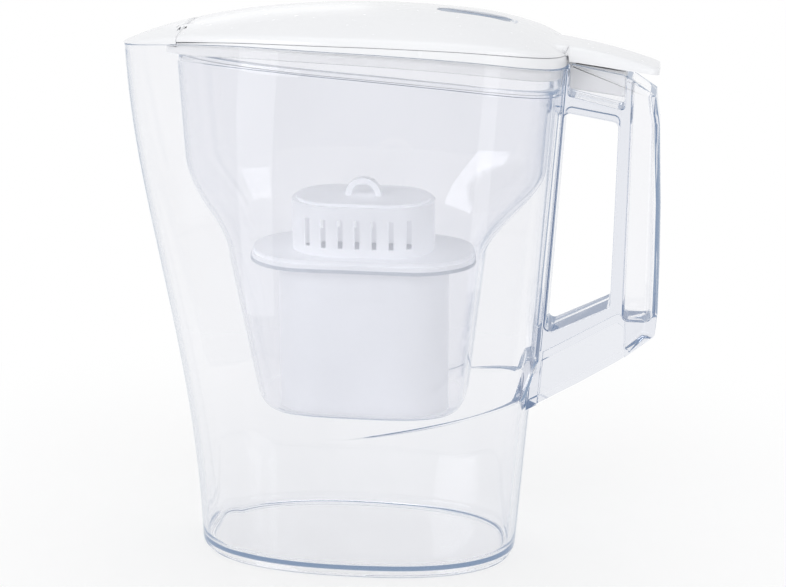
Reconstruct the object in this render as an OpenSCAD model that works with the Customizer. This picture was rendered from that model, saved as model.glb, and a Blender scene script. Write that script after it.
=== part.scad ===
// Water filter pitcher with a flip lid. Millimetres.
// Origin at the centre of the foot on the table, +Z up, spout towards -X, handle towards +X.
// The pitcher is symmetric about the plane Y = 0.

/* [Jug] */
// Half length of the foot outline
foot_a = 75.8; // [70:0.2:82]
// Half depth of the foot outline
foot_b = 46.3; // [42:0.1:50]
// How far the jug wall stands outside the foot
foot_step = 1.2; // [0.8:0.1:2]
// Height of the rim at its highest point
rim_z = 254; // [250:0.5:258]
// Reach of the spout tip in front of the centre
spout_a = 112.2; // [106:0.2:116]
// Wall thickness at the rim
wall = 2.3; // [2:0.1:2.6]
// Extra wall thickness below the funnel shelf
shelf = 1.1; // [0.8:0.1:1.3]
// Height of the inside floor
floor_z = 4.4; // [4:0.1:7]
// How far the upper body stands proud of the lower body at the back
step_out = 4; // [2:0.1:5]

/* [Handle] */
// Half width of the handle
handle_w = 13; // [12:0.5:15]
// Reach of the grip behind the rim
grip_reach = 44.5; // [42:0.5:50]
// Wall thickness of the handle channel
handle_wall = 2.6; // [2:0.1:3]
// Depth of the recess in the sides of the lower arm
recess = 1.6; // [1:0.1:2]

/* [Funnel] */
// Wall thickness of the funnel
funnel_wall = 1.8; // [1.4:0.1:2.2]
// Height of the underside of the well
well_z = 70.5; // [68:0.5:72]
// Gap between the cartridge body and the well at its two ends
well_gap = 6.95; // [5:0.05:9]
// Gap between the cartridge body and the well at its sides
side_gap = 3.6; // [2.5:0.1:5]
// Gap between the cartridge seal and the funnel
collar_gap = 1.65; // [1:0.05:2.5]
// Reach of the funnel flange in front of the lid seam
flange_lead = 6.75; // [5:0.05:8]
// Thickness of the flange
flange_h = 2.5; // [2:0.1:2.8]
// Gap between the flange and the jug wall
flange_gap = 0.45; // [0.3:0.05:0.8]
// Radius of the outlet holes in the well floor
outlet_r = 3; // [2:0.1:4]

/* [Cartridge] */
// Half length of the cartridge body
cart_a = 41; // [39:0.5:41.5]
// Half depth of the cartridge body
cart_b = 24.6; // [23:0.2:25]
// How far the collar stands out from the body at its two ends
collar_end = 13; // [10:0.2:15]
// How far the collar stands out from the body at its sides
collar_side = 5; // [4:0.1:6]
// Height of the outlet ring below the cartridge body
cart_foot = 2.1; // [1.5:0.1:4]
// Height of the collar underside
collar_z = 148; // [146:0.5:149]
// Height of the cap tower above the collar
tower_h = 26; // [20:0.5:27]
// Wall thickness of the cartridge
cart_wall = 1.6; // [1.2:0.1:2]

/* [Lid] */
// Thickness of the lid shells
shell = 2.2; // [1.8:0.1:2.4]
// Gap between the flip lid and the lid ring
lid_gap = 0.25; // [0.2:0.05:0.4]
// Depth of the skirt inside the jug
skirt_h = 5.5; // [4:0.1:5.6]
// Position of the seam between the spout flap and the flip lid
seam_x = -79.25; // [-80:0.05:-78.5]
// Radius of the rolled hinge edges
roll_r = 1.5; // [1.4:0.05:1.6]
// Radius of the hinge pins
pin_r = 0.75; // [0.6:0.01:0.8]
// Running clearance between pin and rolled edge
pin_gap = 0.05; // [0.03:0.01:0.08]
// Half length of the rolled hinge edges
roll_w = 10; // [8:0.5:12]

/* [Indicator] */
// Half length of the indicator window
win_a = 18; // [16:0.2:19]
// Half width of the indicator window
win_b = 7.2; // [6:0.1:8]
// Distance from the rear of the lid to the indicator window
win_back = 25.7; // [22:0.1:32]
// Radius of the reset button
button_r = 2.2; // [1.8:0.1:2.6]

/* [Hidden] */
eps = 0.01;
seg = 60;
// Outline exponents: low in front at the rim makes the pointed spout
foot_n = 2.42;
foot_h = 2.4;
foot_t = 3;
spout_n = 1.65;
back_n = 2.8;
flange_n = 1.9;
peak_x = -38;
crown_z = rim_z + 14.75;
crown_x = 18;
crown_fall = 0.0011;
roll_gap = 0.3;
roll_x = roll_r + roll_gap / 2;
flip_x = seam_x + roll_x;
flap_x = seam_x - roll_x;
ear_t = 3;
ear_gap = 0.35;
ear_y = roll_w + ear_gap;
notch_y = ear_y + ear_t + ear_gap;
ring_x0 = seam_x - 5.15;
bar_x1 = seam_x + 5.75;
skirt_gap = 0.5;
skirt_t = 1.9;
deck_w = 10;
ind_gap = 0.2;
ind_wall = 1.2;
lip_k = jug_up(rim_z - 8);
grip_x = lip_k + grip_reach;
grip_wall_x = grip_x - 17.3;
grip_round = 7;
cart_x = 2.75;
well_floor = 2.4;
cart_z = well_z + well_floor + cart_foot;
collar_a = cart_a + collar_end;
collar_b = cart_b + collar_side;
well_n = max(3.2, 0.96 * pow(collar_a / collar_b, 2));
seal_lip = 0.5;
flange_a = flange_lead - seam_x;
flange_seat = 0.3;
hopper_h = 48;
lean = 5.5;
white = [0.94, 0.94, 0.95];
clear = [0.82, 0.85, 0.93, 0.35];

// ---- curves shared by the pieces ----

// Smooth rise from 0 at t = 0 to 1 at t = 1
function ease(t) = let (c = min(1, max(0, t))) c * c * (3 - 2 * c);
function mix(a, b, t) = a + (b - a) * t;
function spow(v, p) = sign(v) * pow(abs(v), p);

// One point of an egg outline: a superellipse with its own reach and exponent in front and behind
function egg(t, af, ab, b, nf, nb) =
  let (c = cos(t), s = sin(t), n = c < 0 ? nf : nb)
  [(c < 0 ? af : ab) * spow(c, 2 / n), b * spow(s, 2 / n)];
// Half width of that outline at a given x
function egg_w(x, af, ab, b, nf, nb) =
  let (a = x < 0 ? af : ab, n = x < 0 ? nf : nb, u = min(1, abs(x) / a))
  b * pow(1 - pow(u, n), 1 / n);

// Jug outline at height z: front reach, lower and upper back reach, half depth, exponents
function level(z) = z / (rim_z - 6.7);
function jug_f(z) = let (t = pow(max(0, level(z)), 1.15))
  foot_a + 1 + foot_step + 0.035 * z + (spout_a - foot_a - 10.9) * ease(t);
function jug_low(z) = foot_a + foot_step + 0.083 * z;
function jug_up(z) = foot_a + 1 + foot_step + step_out + 0.0686 * z;
function jug_w(z) = foot_b + foot_step + 0.0198 * z;
function jug_nf(z) = mix(foot_n, spout_n, min(1, level(z)));
function jug_nb(z) = mix(foot_n, back_n, min(1, level(z)));

// Heights that sweep along the jug: rim, ledge at the back, shelf for the funnel
function rim_h(x) = let (d = x - peak_x) rim_z - (d < 0 ? 0.00122 : 0.00044) * d * d;
function ledge_h(u) = let (v = max(0, u)) 67 + 18 * v + 8 * pow(v, 4) + min(0, u) * 4;
shelf_x = seam_x + 5.65;
function shelf_h(x) = let (d = x - shelf_x)
  min(rim_h(x) - 2, rim_h(shelf_x) - 7.85 - 0.01745 * d - 0.00032 * d * d);

// Jug outer point at angle t and height z, up = 1 above the ledge, inset towards the centre
function jug_pt(t, z, up, inset) =
  let (ab = mix(jug_low(z), jug_up(z), up * ease(cos(t) * 1.25)))
  let (p = egg(t, jug_f(z) - inset, ab - inset, jug_w(z) - inset, jug_nf(z), jug_nb(z)))
  [p[0], p[1], z];
function rim_x(t) = jug_pt(t, rim_z - 6, 1, 0)[0];
// Point kept inside the jug at height z, with a gap to its outer face
function kept_in(p, z, gap) =
  let (w = egg_w(p[0], jug_f(z) - gap, jug_up(z) - gap, jug_w(z) - gap, jug_nf(z), jug_nb(z)))
  [p[0], sign(p[1]) * min(abs(p[1]), w), z];
function shelf_in(t) = shelf * ease((rim_x(t) + 84) / 20);

// Closed solid from rings of points, all rings with the same count, capped at both ends
function ring_faces(n, m) = [
  for (i = [0 : n - 2], j = [0 : m - 1]) let (k = (j + 1) % m)
    each [[i * m + j, (i + 1) * m + k, i * m + k], [i * m + j, (i + 1) * m + j, (i + 1) * m + k]]
];
module tube(rings) {
  n = len(rings);
  m = len(rings[0]);
  pts = [for (r = rings) each r];
  a = [for (p = rings[0]) 1] * rings[0] / m;
  b = [for (p = rings[n - 1]) 1] * rings[n - 1] / m;
  caps = [
    for (j = [0 : m - 1]) let (k = (j + 1) % m)
      each [[n * m, j, k], [n * m + 1, (n - 1) * m + k, (n - 1) * m + j]]
  ];
  polyhedron(concat(pts, [a, b]), concat(ring_faces(n, m), caps));
}
// Closed band: rings joined end to end
module band(rings) {
  n = len(rings);
  m = len(rings[0]);
  faces = [
    for (i = [0 : n - 1], j = [0 : m - 1]) let (h = (i + 1) % n, k = (j + 1) % m)
      each [[i * m + j, h * m + k, i * m + k], [i * m + j, h * m + j, h * m + k]]
  ];
  polyhedron([for (r = rings) each r], faces);
}

// Polygon corners rounded by the radius in each point's third value
function unit(v) = v / norm(v);
function flat(p) = [p[0], p[1]];
function fillet(a, b, c) =
  b[2] == 0 ? [flat(b)] :
  let (u = unit(flat(a) - flat(b)), v = unit(flat(c) - flat(b)))
  let (half = acos(max(-1, min(1, u * v))) / 2, mid = flat(b) + unit(u + v) * b[2] / sin(half))
  let (p = flat(b) + u * b[2] / tan(half) - mid, q = flat(b) + v * b[2] / tan(half) - mid)
  let (a0 = atan2(p[1], p[0]), d = atan2(q[1], q[0]) - a0)
  let (e = d > 180 ? d - 360 : d < -180 ? d + 360 : d)
  [for (i = [0 : 5]) mid + b[2] * [cos(a0 + e * i / 5), sin(a0 + e * i / 5)]];
function rounded(pts) = let (n = len(pts))
  [for (i = [0 : n - 1]) each fillet(pts[(i + n - 1) % n], pts[i], pts[(i + 1) % n])];
// Side view profile (x, z) drawn out to half width w either side of the middle plane
module side(pts, w) {
  rotate([90, 0, 0]) linear_extrude(2 * w, center = true) polygon(rounded(pts));
}
// Stadium: half length a, half width b, from z0 to z1
module stadium(a, b, z0, z1) {
  translate([0, 0, z0]) linear_extrude(z1 - z0) {
    square([2 * (a - b), 2 * b], center = true);
    translate([a - b, 0]) circle(b, $fn = 64);
    translate([b - a, 0]) circle(b, $fn = 64);
  }
}
module bar(x0, x1, w, z0, z1) {
  translate([x0, -w, z0]) cube([x1 - x0, 2 * w, z1 - z0]);
}
module rod(x, z, r, w, n = 48) {
  translate([x, 0, z]) rotate([90, 0, 0]) cylinder(2 * w, r = r, center = true, $fn = n);
}

// ---- jug ----

// One row of the jug: share f of the way from the foot to the ledge, or from the ledge to the rim
function low_row(f, inset) = [
  for (j = [0 : seg - 1]) let (t = 360 * j / seg, z = mix(3.6, ledge_h(cos(t)), f))
    jug_pt(t, z, 0, inset)
];
function up_row(f, inset) = [
  for (j = [0 : seg - 1]) let (t = 360 * j / seg, z = mix(ledge_h(cos(t)) + 1.8, rim_h(rim_x(t)), f))
    jug_pt(t, z, 1, inset)
];
function flat_row(z, inset) = [for (j = [0 : seg - 1]) jug_pt(360 * j / seg, z, 0, inset)];
function shelf_row(extra, top) = [
  for (j = [0 : seg - 1]) let (t = 360 * j / seg, z = mix(shelf_h(rim_x(t)), rim_h(rim_x(t)), top))
    jug_pt(t, z, 1, wall + extra * shelf_in(t))
];
function under_row(f) = [
  for (j = [0 : seg - 1]) let (t = 360 * j / seg)
    let (z = mix(ledge_h(cos(t)) + 1.8, shelf_h(rim_x(t)), f))
    jug_pt(t, z, 1, wall + shelf_in(t))
];
function inner_low(f) = [
  for (j = [0 : seg - 1]) let (t = 360 * j / seg, z = mix(floor_z + 4, ledge_h(cos(t)), f))
    jug_pt(t, z, 0, wall + shelf_in(t))
];

// Height of the rim at the back, and of the upper arm where it leaves the jug below it
rear_z = rim_h(lip_k);
arm_z = rear_z - 1.36;
// Heights along the grip: f = 0 at its foot, 1 at the underside of the upper arm
function grip_z(f) = mix(126, arm_z - 27.4, f);
arm_x = jug_low(77.5);
handle_side = concat(
  [[arm_x - 1.4, 76, 0], [arm_x, 77, 0], [mix(arm_x, grip_wall_x, 0.56), 90.9, 0]],
  [[grip_wall_x, 102.8, 6], [grip_x - 1.1, 115.5, 3], [grip_x - 0.1, 126, 0]],
  [[grip_x, grip_z(0.264), 0], [grip_x - 0.5, grip_z(0.582), 0], [grip_x - 2.2, grip_z(1), 0]],
  [[grip_x - 4.2, arm_z - 13.2, 0.6], [grip_wall_x + 1.9, arm_z - 5.8, 0]],
  [[grip_wall_x - 2.1, arm_z - 4.2, 0], [jug_up(arm_z) - 1.2, arm_z, 0]],
  [[jug_up(113) - 1.2, 113, 0], [jug_up(96) - 1.5, 96, 0], [jug_low(92) - 1.5, 92, 0]]
);
finger_hole = [
  [jug_up(arm_z - 23) - 9, arm_z - 22.8, 0], [grip_x - 20.8, arm_z - 27, 3],
  [grip_x - 21.4, grip_z(0.582), 0], [grip_x - 22, grip_z(0.264), 0],
  [grip_x - 22.4, 129.5, 3], [jug_up(113) - 9, 109, 0]
];
channel = [
  [jug_up(arm_z - 13) + 1.4, rim_z + 6, 0], [jug_up(arm_z - 13) + 0.8, arm_z - 15.4, 2],
  [grip_wall_x - 0.5, arm_z - 21.8, 2], [grip_wall_x, rim_z + 6, 0]
];
grip_hollow = [
  [grip_wall_x + 2.2, rim_z + 6, 0], [grip_wall_x + 0.4, 122, 3], [grip_x - 3.6, 122, 3],
  [grip_x - 3, grip_z(0.264), 0], [grip_x - 3.4, grip_z(0.582), 0], [grip_x - 5, grip_z(1), 0],
  [grip_x - 7.2, arm_z - 8.4, 0], [grip_x - 9, rim_z + 6, 0]
];
arm_recess = [
  [jug_low(70) + 4, 70, 0], [jug_low(70) + 6.2, 94.5, 0], [grip_x - 24.4, 113.6, 1],
  [grip_x - 21.9, 108.5, 1], [grip_x - 22.4, 90, 0]
];

// Handle seen from above, with its two rear corners rounded
handle_plan = rounded([
  [60, -handle_w, 0], [grip_x, -handle_w, grip_round], [grip_x, handle_w, grip_round], [60, handle_w, 0]
]);
module handle() {
  difference() {
    intersection() {
      side(handle_side, handle_w);
      translate([0, 0, 60]) linear_extrude(rim_z) polygon(handle_plan);
    }
    difference() {
      side(finger_hole, handle_w + 1);
      bar(60, jug_up(113) + 12, handle_w + 2, 60, 110);
    }
    side(channel, handle_w - handle_wall);
    side(grip_hollow, handle_w - handle_wall);
    for (s = [-1, 1]) translate([0, s * (handle_w + 5 - recess), 0]) side(arm_recess, 5);
  }
}

module foot_plan(inset) {
  a = foot_a - inset;
  polygon([for (j = [0 : 2 * seg - 1]) egg(180 * j / seg, a, a, foot_b - inset, foot_n, foot_n)]);
}
module jug() {
  color(clear) union() {
    tube(concat(
      [flat_row(1, 9), flat_row(1, 1.6), flat_row(2, 0.5)],
      [for (f = [0 : 0.25 : 1]) low_row(f, 0)],
      [for (f = [0 : 0.125 : 1]) up_row(f, f == 1 ? 0.35 : 0)],
      [up_row(1, wall - 0.2), shelf_row(0, 0.5), shelf_row(0, 0), shelf_row(1, 0)],
      [for (f = [0.86 : -0.215 : 0]) under_row(f)],
      [for (f = [1 : -0.34 : 0]) inner_low(f)],
      [flat_row(floor_z + 1.2, wall + 1.4), flat_row(floor_z, wall + 4.4)]
    ));
    linear_extrude(foot_h) difference() {
      foot_plan(0);
      foot_plan(foot_t);
    }
    handle();
  }
}

// ---- funnel ----

// Half lengths and half depths at the well, at the collar and at the mouth of the hopper
hopper_z = collar_z + hopper_h;
well_f = cart_a - cart_x + well_gap + funnel_wall;
well_k = cart_a + cart_x + well_gap + funnel_wall;
well_w = cart_b + side_gap + funnel_wall;
neck_f = collar_a + seal_lip - cart_x + collar_gap + funnel_wall + lean;
neck_k = collar_a + seal_lip + cart_x + collar_gap + funnel_wall;
neck_w = collar_b + seal_lip + collar_gap + funnel_wall;
mouth_f = flange_a - 4.6;
mouth_k = jug_up(hopper_z) - wall - shelf - 2.1;
mouth_w = jug_w(hopper_z) - wall - shelf - 2.1;
// Share of the way from the well to the collar, and from the collar to the mouth
function rise(z) = min(1, max(0, (z - well_z - 5.5) / (collar_z - well_z - 5.5)));
function hop(z) = ease((z - collar_z) / hopper_h);
function over(z) = max(0, z - hopper_z);
function fun_f(z) = mix(mix(well_f, neck_f, rise(z)), mouth_f, hop(z)) + 0.07 * over(z);
function fun_k(z) = mix(mix(well_k, neck_k, rise(z)), mouth_k, hop(z)) + 0.07 * over(z);
function fun_w(z) = mix(mix(well_w, neck_w, rise(z)), mouth_w, hop(z)) + 0.035 * over(z);
function fun_nf(z) = mix(well_n, flange_n, hop(z));
function fun_nb(z) = mix(well_n, back_n, hop(z));
function fun_pt(t, z, inset) =
  let (p = egg(t, fun_f(z) - inset, fun_k(z) - inset, fun_w(z) - inset, fun_nf(z), fun_nb(z)))
  kept_in(p, z, wall + shelf + 0.6 + inset);
// Flange outline: along the jug wall at the back, rounded off short of the spout in front
function flange_pt(t, z, inset) =
  let (g = wall + flange_gap + inset)
  let (p = egg(t, flange_a - inset, jug_up(z) - g, jug_w(z) - g - 0.3, flange_n, jug_nb(z)))
  kept_in(p, z, g);
function fun_row(z, inset) = [for (j = [0 : seg - 1]) fun_pt(360 * j / seg, z, inset)];
function flange_x(t) = flange_pt(t, rim_z - 14, 0)[0];
function fun_up(f, inset) = [
  for (j = [0 : seg - 1]) let (t = 360 * j / seg)
    fun_pt(t, mix(hopper_z, shelf_h(flange_x(t)) + flange_seat, f), inset)
];
function flange_row(inset, up) = [
  for (j = [0 : seg - 1]) let (t = 360 * j / seg)
    flange_pt(t, shelf_h(flange_x(t)) + flange_seat + up, inset)
];

module funnel() {
  w = funnel_wall;
  levels = concat(
    [mix(well_z + 8, collar_z, 0.45), collar_z - 8],
    [for (f = [0.05, 0.25, 0.44, 0.63, 0.82, 1]) collar_z + hopper_h * f]
  );
  color(clear) difference() {
    tube(concat(
      [fun_row(well_z, 9), fun_row(well_z + 1.2, 4)],
      [fun_row(well_z + 4, 1.2), fun_row(well_z + 8, 0)],
      [for (z = levels) fun_row(z, 0)],
      [fun_up(0.5, 0), fun_up(1, 0)],
      [flange_row(0.25, 0), flange_row(0, 0.4), flange_row(0, flange_h - 0.4)],
      [flange_row(0.4, flange_h), flange_row(4.2, flange_h), fun_up(0.96, w), fun_up(0.5, w)],
      [for (i = [len(levels) - 1 : -1 : 0]) fun_row(levels[i], w)],
      [fun_row(well_z + 8, w), fun_row(well_z + 4.4, w + 1.6)],
      [fun_row(well_z + well_floor, w + 6)]
    ));
    for (i = [-2 : 2])
      translate([cart_x + 12 * i, 0, well_z - 1]) cylinder(5, r = outlet_r, $fn = 32);
  }
}

// ---- cartridge ----

module cartridge_shell() {
  color(white) translate([cart_x, 0, 0]) difference() {
    union() {
      stadium(cart_a, cart_b, cart_z, collar_z + eps);
      stadium(collar_a, collar_b, collar_z, collar_z + 2);
      stadium(cart_a - 11, cart_b - 11.6, well_z + well_floor + 0.1, cart_z + eps);
    }
    stadium(cart_a - 13.4, cart_b - 14, well_z, cart_z);
    stadium(cart_a - cart_wall, cart_b - cart_wall, cart_z + 2, collar_z + 3);
    for (i = [-2 : 2], j = [-1, 1])
      translate([9 * i, 5 * j, cart_z - 1]) cylinder(4, r = 1.8, $fn = 32);
  }
}
module cartridge_outlet_screen() {
  color([0.8, 0.8, 0.82]) translate([cart_x, 0, 0])
    stadium(cart_a - cart_wall - 0.1, cart_b - cart_wall - 0.1, cart_z + 2, cart_z + 3);
}
module filter_granules() {
  color([0.16, 0.16, 0.17]) translate([cart_x, 0, 0])
    stadium(cart_a - cart_wall - 0.1, cart_b - cart_wall - 0.1, cart_z + 3, collar_z - 1);
}
module cartridge_inlet_screen() {
  color([0.8, 0.8, 0.82]) translate([cart_x, 0, 0])
    stadium(cart_a - cart_wall - 0.1, cart_b - cart_wall - 0.1, collar_z - 1, collar_z);
}
module cartridge_seal() {
  color([0.3, 0.45, 0.6]) translate([cart_x, 0, 0]) difference() {
    stadium(collar_a + seal_lip, collar_b + seal_lip, collar_z - 1.6, collar_z);
    stadium(collar_a - collar_side / 2, cart_b + collar_side / 2, collar_z - 2, collar_z + 1);
  }
}
module cartridge_cap() {
  a = collar_a - 20;
  b = collar_b - 8.1;
  top = collar_z + 2 + tower_h;
  color(white) translate([cart_x, 0, 0]) {
    difference() {
      union() {
        stadium(collar_a - 1, collar_b - 1, collar_z + 2, collar_z + 4);
        stadium(a, b, collar_z + 2, top);
        stadium(a - 2, b - 2, top - eps, top + 1.4);
      }
      stadium(a - 1.6, b - 1.6, collar_z + 1, top - 1.6);
      for (i = [-3 : 3])
        bar(i * (a - 10) / 3 - 1.2, i * (a - 10) / 3 + 1.2, b + 1, collar_z + 8, top - 6);
    }
    translate([0, 0, top + 1.2]) rotate([90, 0, 0]) difference() {
      cylinder(5, r = 8.6, center = true, $fn = 64);
      cylinder(6, r = 6, center = true, $fn = 64);
      translate([0, -10, 0]) cube([30, 20, 8], center = true);
    }
  }
}

// ---- lid ----

// Half depth of the lid, where the flip lid's dome ends, and the indicator's place on it
lip_b = jug_w(rim_z - 1.5) - 0.2;
lid_end = lip_k + 0.35;
ind_x = lid_end - win_back - win_a;
ind_tilt = atan(2 * crown_fall * (ind_x - crown_x)) + 1.284;
function ring_h(x) = rim_h(x) + 0.6 + 0.0263 * (x - ring_x0);
function lid_w(x, inset) =
  egg_w(x, spout_a - inset, lip_k - inset, lip_b - inset, spout_n, back_n);
function crown(x) = let (d = x - crown_x)
  d < 0 ? crown_z - 0.00075 * d * d - 0.000000036 * pow(d, 4) : crown_z - crown_fall * d * d;
brow_x = seam_x + 1.75;
function crown_front(x) = let (u = (brow_x - x) / (spout_a + brow_x))
  mix(crown(brow_x), rim_h(-spout_a) + 0.92, 0.55 * u + 0.45 * u * u);
// Cross section of the dome: 1 in the middle, 0 at the edge
function arch(s) = pow(max(0, 1 - pow(abs(s), 2.2)), 0.7);
// Share of the dome left towards the rear, where it rolls down behind the indicator
roll_off = ind_x - 0.5;
function tail_off(x) =
  x < roll_off ? 1 : pow(max(0, 1 - pow((x - roll_off) / (lid_end - 1.2 - roll_off), 2.6)), 0.65);
function dome_edge(x) = ring_h(x) + lid_gap + 0.4 * (1 - ease((x - seam_x) / 20));
function flap_edge(x) = rim_h(x) + 0.3;
// Columns across the lid, closer together near the edges
cols = [for (j = [0 : 24]) sin(90 * (j - 12) / 12)];

// Shell between an outer and an inner grid of points that share their border count
module skin(outer, inner) {
  n = len(outer);
  m = len(outer[0]);
  t = n * m;
  top = [for (i = [0 : n - 2], j = [0 : m - 2]) let (p = i * m + j)
    each [[p, p + 1, p + m + 1], [p, p + m + 1, p + m]]];
  under = [for (i = [0 : n - 2], j = [0 : m - 2]) let (p = t + i * m + j)
    each [[p, p + m + 1, p + 1], [p, p + m, p + m + 1]]];
  ends = [for (j = [0 : m - 2]) each [
    [j + 1, j, t + j], [j + 1, t + j, t + j + 1],
    [t - m + j, t - m + j + 1, 2 * t - m + j + 1], [t - m + j, 2 * t - m + j + 1, 2 * t - m + j]]];
  sides = [for (i = [0 : n - 2]) let (p = i * m, q = i * m + m - 1) each [
    [p, p + m, t + p + m], [p, t + p + m, t + p],
    [q + m, q, t + q], [q + m, t + q, t + q + m]]];
  pts = concat([for (r = outer) each r], [for (r = inner) each r]);
  polyhedron(pts, concat(top, under, ends, sides));
}
function flap_row(x, inset) = [
  for (s = cols) let (e = flap_edge(x), h = max(0.3, crown_front(x) - inset - e))
    [x, s * lid_w(x, inset), e + h * arch(s)]
];
// Row positions: closer together towards the far end
function spread(x0, x1, n) = [for (i = [0 : n]) x0 + (x1 - x0) * sin(90 * i / n)];

module ring_band() {
  function p(t, inset, z) =
    let (q = egg(t, spout_a - inset, lip_k - inset, lip_b - inset, spout_n, back_n))
    [q[0], q[1], z];
  function row(inset, k, dz) = [for (j = [0 : seg - 1]) let (t = 360 * j / seg, x = rim_x(t))
    p(t, inset, (k == 1 ? ring_h(x) : rim_h(x)) + dz)];
  // The skirt follows the jug wall and ends above the funnel flange
  function hem(inset) = [for (j = [0 : seg - 1]) let (t = 360 * j / seg, x = rim_x(t))
    jug_pt(t, max(rim_h(x) - skirt_h, shelf_h(x) + flange_seat + flange_h + 0.5), 1, inset)];
  in0 = wall + skirt_gap;
  in1 = in0 + skirt_t;
  band([
    row(0.1, 0, 0.2), row(0, 1, -0.2), row(0.3, 1, 0), row(6, 1, -0.2), row(deck_w, 1, -0.4),
    row(deck_w, 0, -1.4), row(in1, 0, -1.6), hem(in1), hem(in0), row(in0, 0, 0.2)
  ]);
}

tongue = [
  [jug_up(arm_z - 13) + 1.8, arm_z - 11.8, 1], [grip_wall_x - 0.9, arm_z - 15.2, 1],
  [grip_wall_x - 0.6, arm_z - 3, 0.5], [lip_k + 4.1, arm_z + 0.3, 0],
  [lip_k + 3.1, rear_z + 3.24, 0.5], [lip_k - 4.9, rear_z + 3.24, 0],
  [lip_k - 4.9, rear_z + 0.54, 0], [lip_k + 0.9, rear_z + 0.54, 0.5]
];
flip_z = crown(flip_x) - roll_r - 0.1;
flap_z = crown_front(flap_x) - roll_r - 0.1;
ear_r = roll_r - 0.1;
ear_foot = rim_h(ring_x0) - 2.8;
ear_side = [
  [flap_x - 2, ear_foot, 0], [flip_x + 2, ear_foot, 0], [flip_x + ear_r, flip_z, 0],
  [flap_x - ear_r, flap_z, 0]
];
tongue_hollow = [
  [lip_k + 3.1, arm_z - 44, 0], [lip_k + 3.1, arm_z - 4.4, 2],
  [grip_wall_x - 3, arm_z - 6.4, 2], [grip_wall_x - 3, arm_z - 44, 0]
];
bar_top = rim_h(ring_x0) - 0.8;
bar_low = shelf_h(ring_x0) + flange_seat + flange_h + 0.4;

module lid_base() {
  color(white) difference() {
    union() {
      difference() {
        ring_band();
        bar(-2 * spout_a, seam_x + roll_gap, 2 * foot_b, rim_z - 24, rim_z + 16);
      }
      // Cross bar between the two ends of the ring, with ears for the hinge pins
      intersection() {
        bar(ring_x0, bar_x1, 2 * foot_b, bar_low, bar_top);
        translate([0, 0, rim_z - 14]) linear_extrude(20) polygon([
          for (x = [ring_x0 - 1 : 2 : bar_x1 + 2]) [x, lid_w(x, wall + skirt_gap + 0.4)],
          for (x = [bar_x1 + 2 : -2 : ring_x0 - 1]) [x, -lid_w(x, wall + skirt_gap + 0.4)]
        ]);
      }
      for (s = [-1, 1]) translate([0, s * (ear_y + ear_t / 2), 0]) {
        side(ear_side, ear_t / 2);
        rod(flip_x, flip_z, ear_r, ear_t / 2);
        rod(flap_x, flap_z, ear_r, ear_t / 2);
      }
      side(tongue, handle_w - handle_wall - 0.4);
    }
    rod(flip_x, flip_z, pin_r, 20);
    rod(flap_x, flap_z, pin_r, 20);
    // Hollow of the tongue, open underneath
    side(tongue_hollow, handle_w - handle_wall - 2.2);
  }
}

module ind_frame() {
  translate([ind_x, 0, crown(ind_x)]) rotate([0, ind_tilt, 0]) children();
}

// Thumb tail behind the dome: half width, top and lower edge at share u of its length
tail_end = grip_x - 3;
tail_round = 4.5;
function tail_u(x) = (x - lid_end) / (tail_end - lid_end);
function tail_w(x) = let (d = max(0, x - tail_end + tail_round - 0.1) / tail_round)
  tail_u(x) < -0.2 ? 0 : handle_w + 2.6 - 2.8 * tail_u(x) - 4 * (1 - sqrt(max(0, 1 - d * d)));
function tail_top(x) = let (u = tail_u(x)) rear_z + 8.32 - 6.26 * u - 4.58 * u * u;
function tail_low(x) = rear_z + 0.19 - 6.18 * tail_u(x);
function flip_w(x, inset) =
  max(lid_w(x, inset), tail_w(x + (x > tail_end - tail_round ? inset : 0)) - inset);
function flip_low(x) = x < lid_end ? dome_edge(x) : tail_low(x);
function tail_arch(s) = pow(max(0, 1 - pow(min(1, abs(s)), 10)), 0.4);
// Top of the flip lid at (x, y): the dome, and behind it the tail that comes out under it
function flip_top(x, y, inset, edge_x) =
  let (e = flip_low(edge_x), w = max(0.1, lid_w(x, inset)), v = tail_w(x) - inset)
  let (dome = e + (crown(x) - inset - e) * arch(min(1, abs(y) / w)) * tail_off(min(lid_end - 1.2, x)))
  let (tail = v <= 0 || abs(y) > v ? 0 : e + (tail_top(x) - inset - e) * tail_arch(y / v))
  x > lid_end ? max(e, tail) : max(e, dome, tail);
function flip_row(x, inset, edge_x) = [
  for (s = cols) let (y = s * flip_w(x, inset)) [x, y, flip_top(x, y, inset, edge_x)]
];
// Heights in the indicator's frame: its flange clears the dome where that falls away at either end
function drop_at(u) = let (x = ind_x + u * cos(ind_tilt))
  crown(ind_x) - u * sin(ind_tilt) - flip_top(x, 0, 0, x);
lens_top = -0.35;
lens_flange_z = -shell - 0.05 - max(drop_at(win_a + 1.6), drop_at(-win_a - 1.6));
lens_z = lens_flange_z - 0.9;
gasket_z = lens_z - 0.7;
tray_z = gasket_z - 4.8;
cover_z = tray_z - 1.5;
display_x = -2;
button_x = win_a - 6;
function flat_end(x, inset, edge_x) = [for (s = cols) [x, s * flip_w(x, inset), flip_low(edge_x)]];

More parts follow.
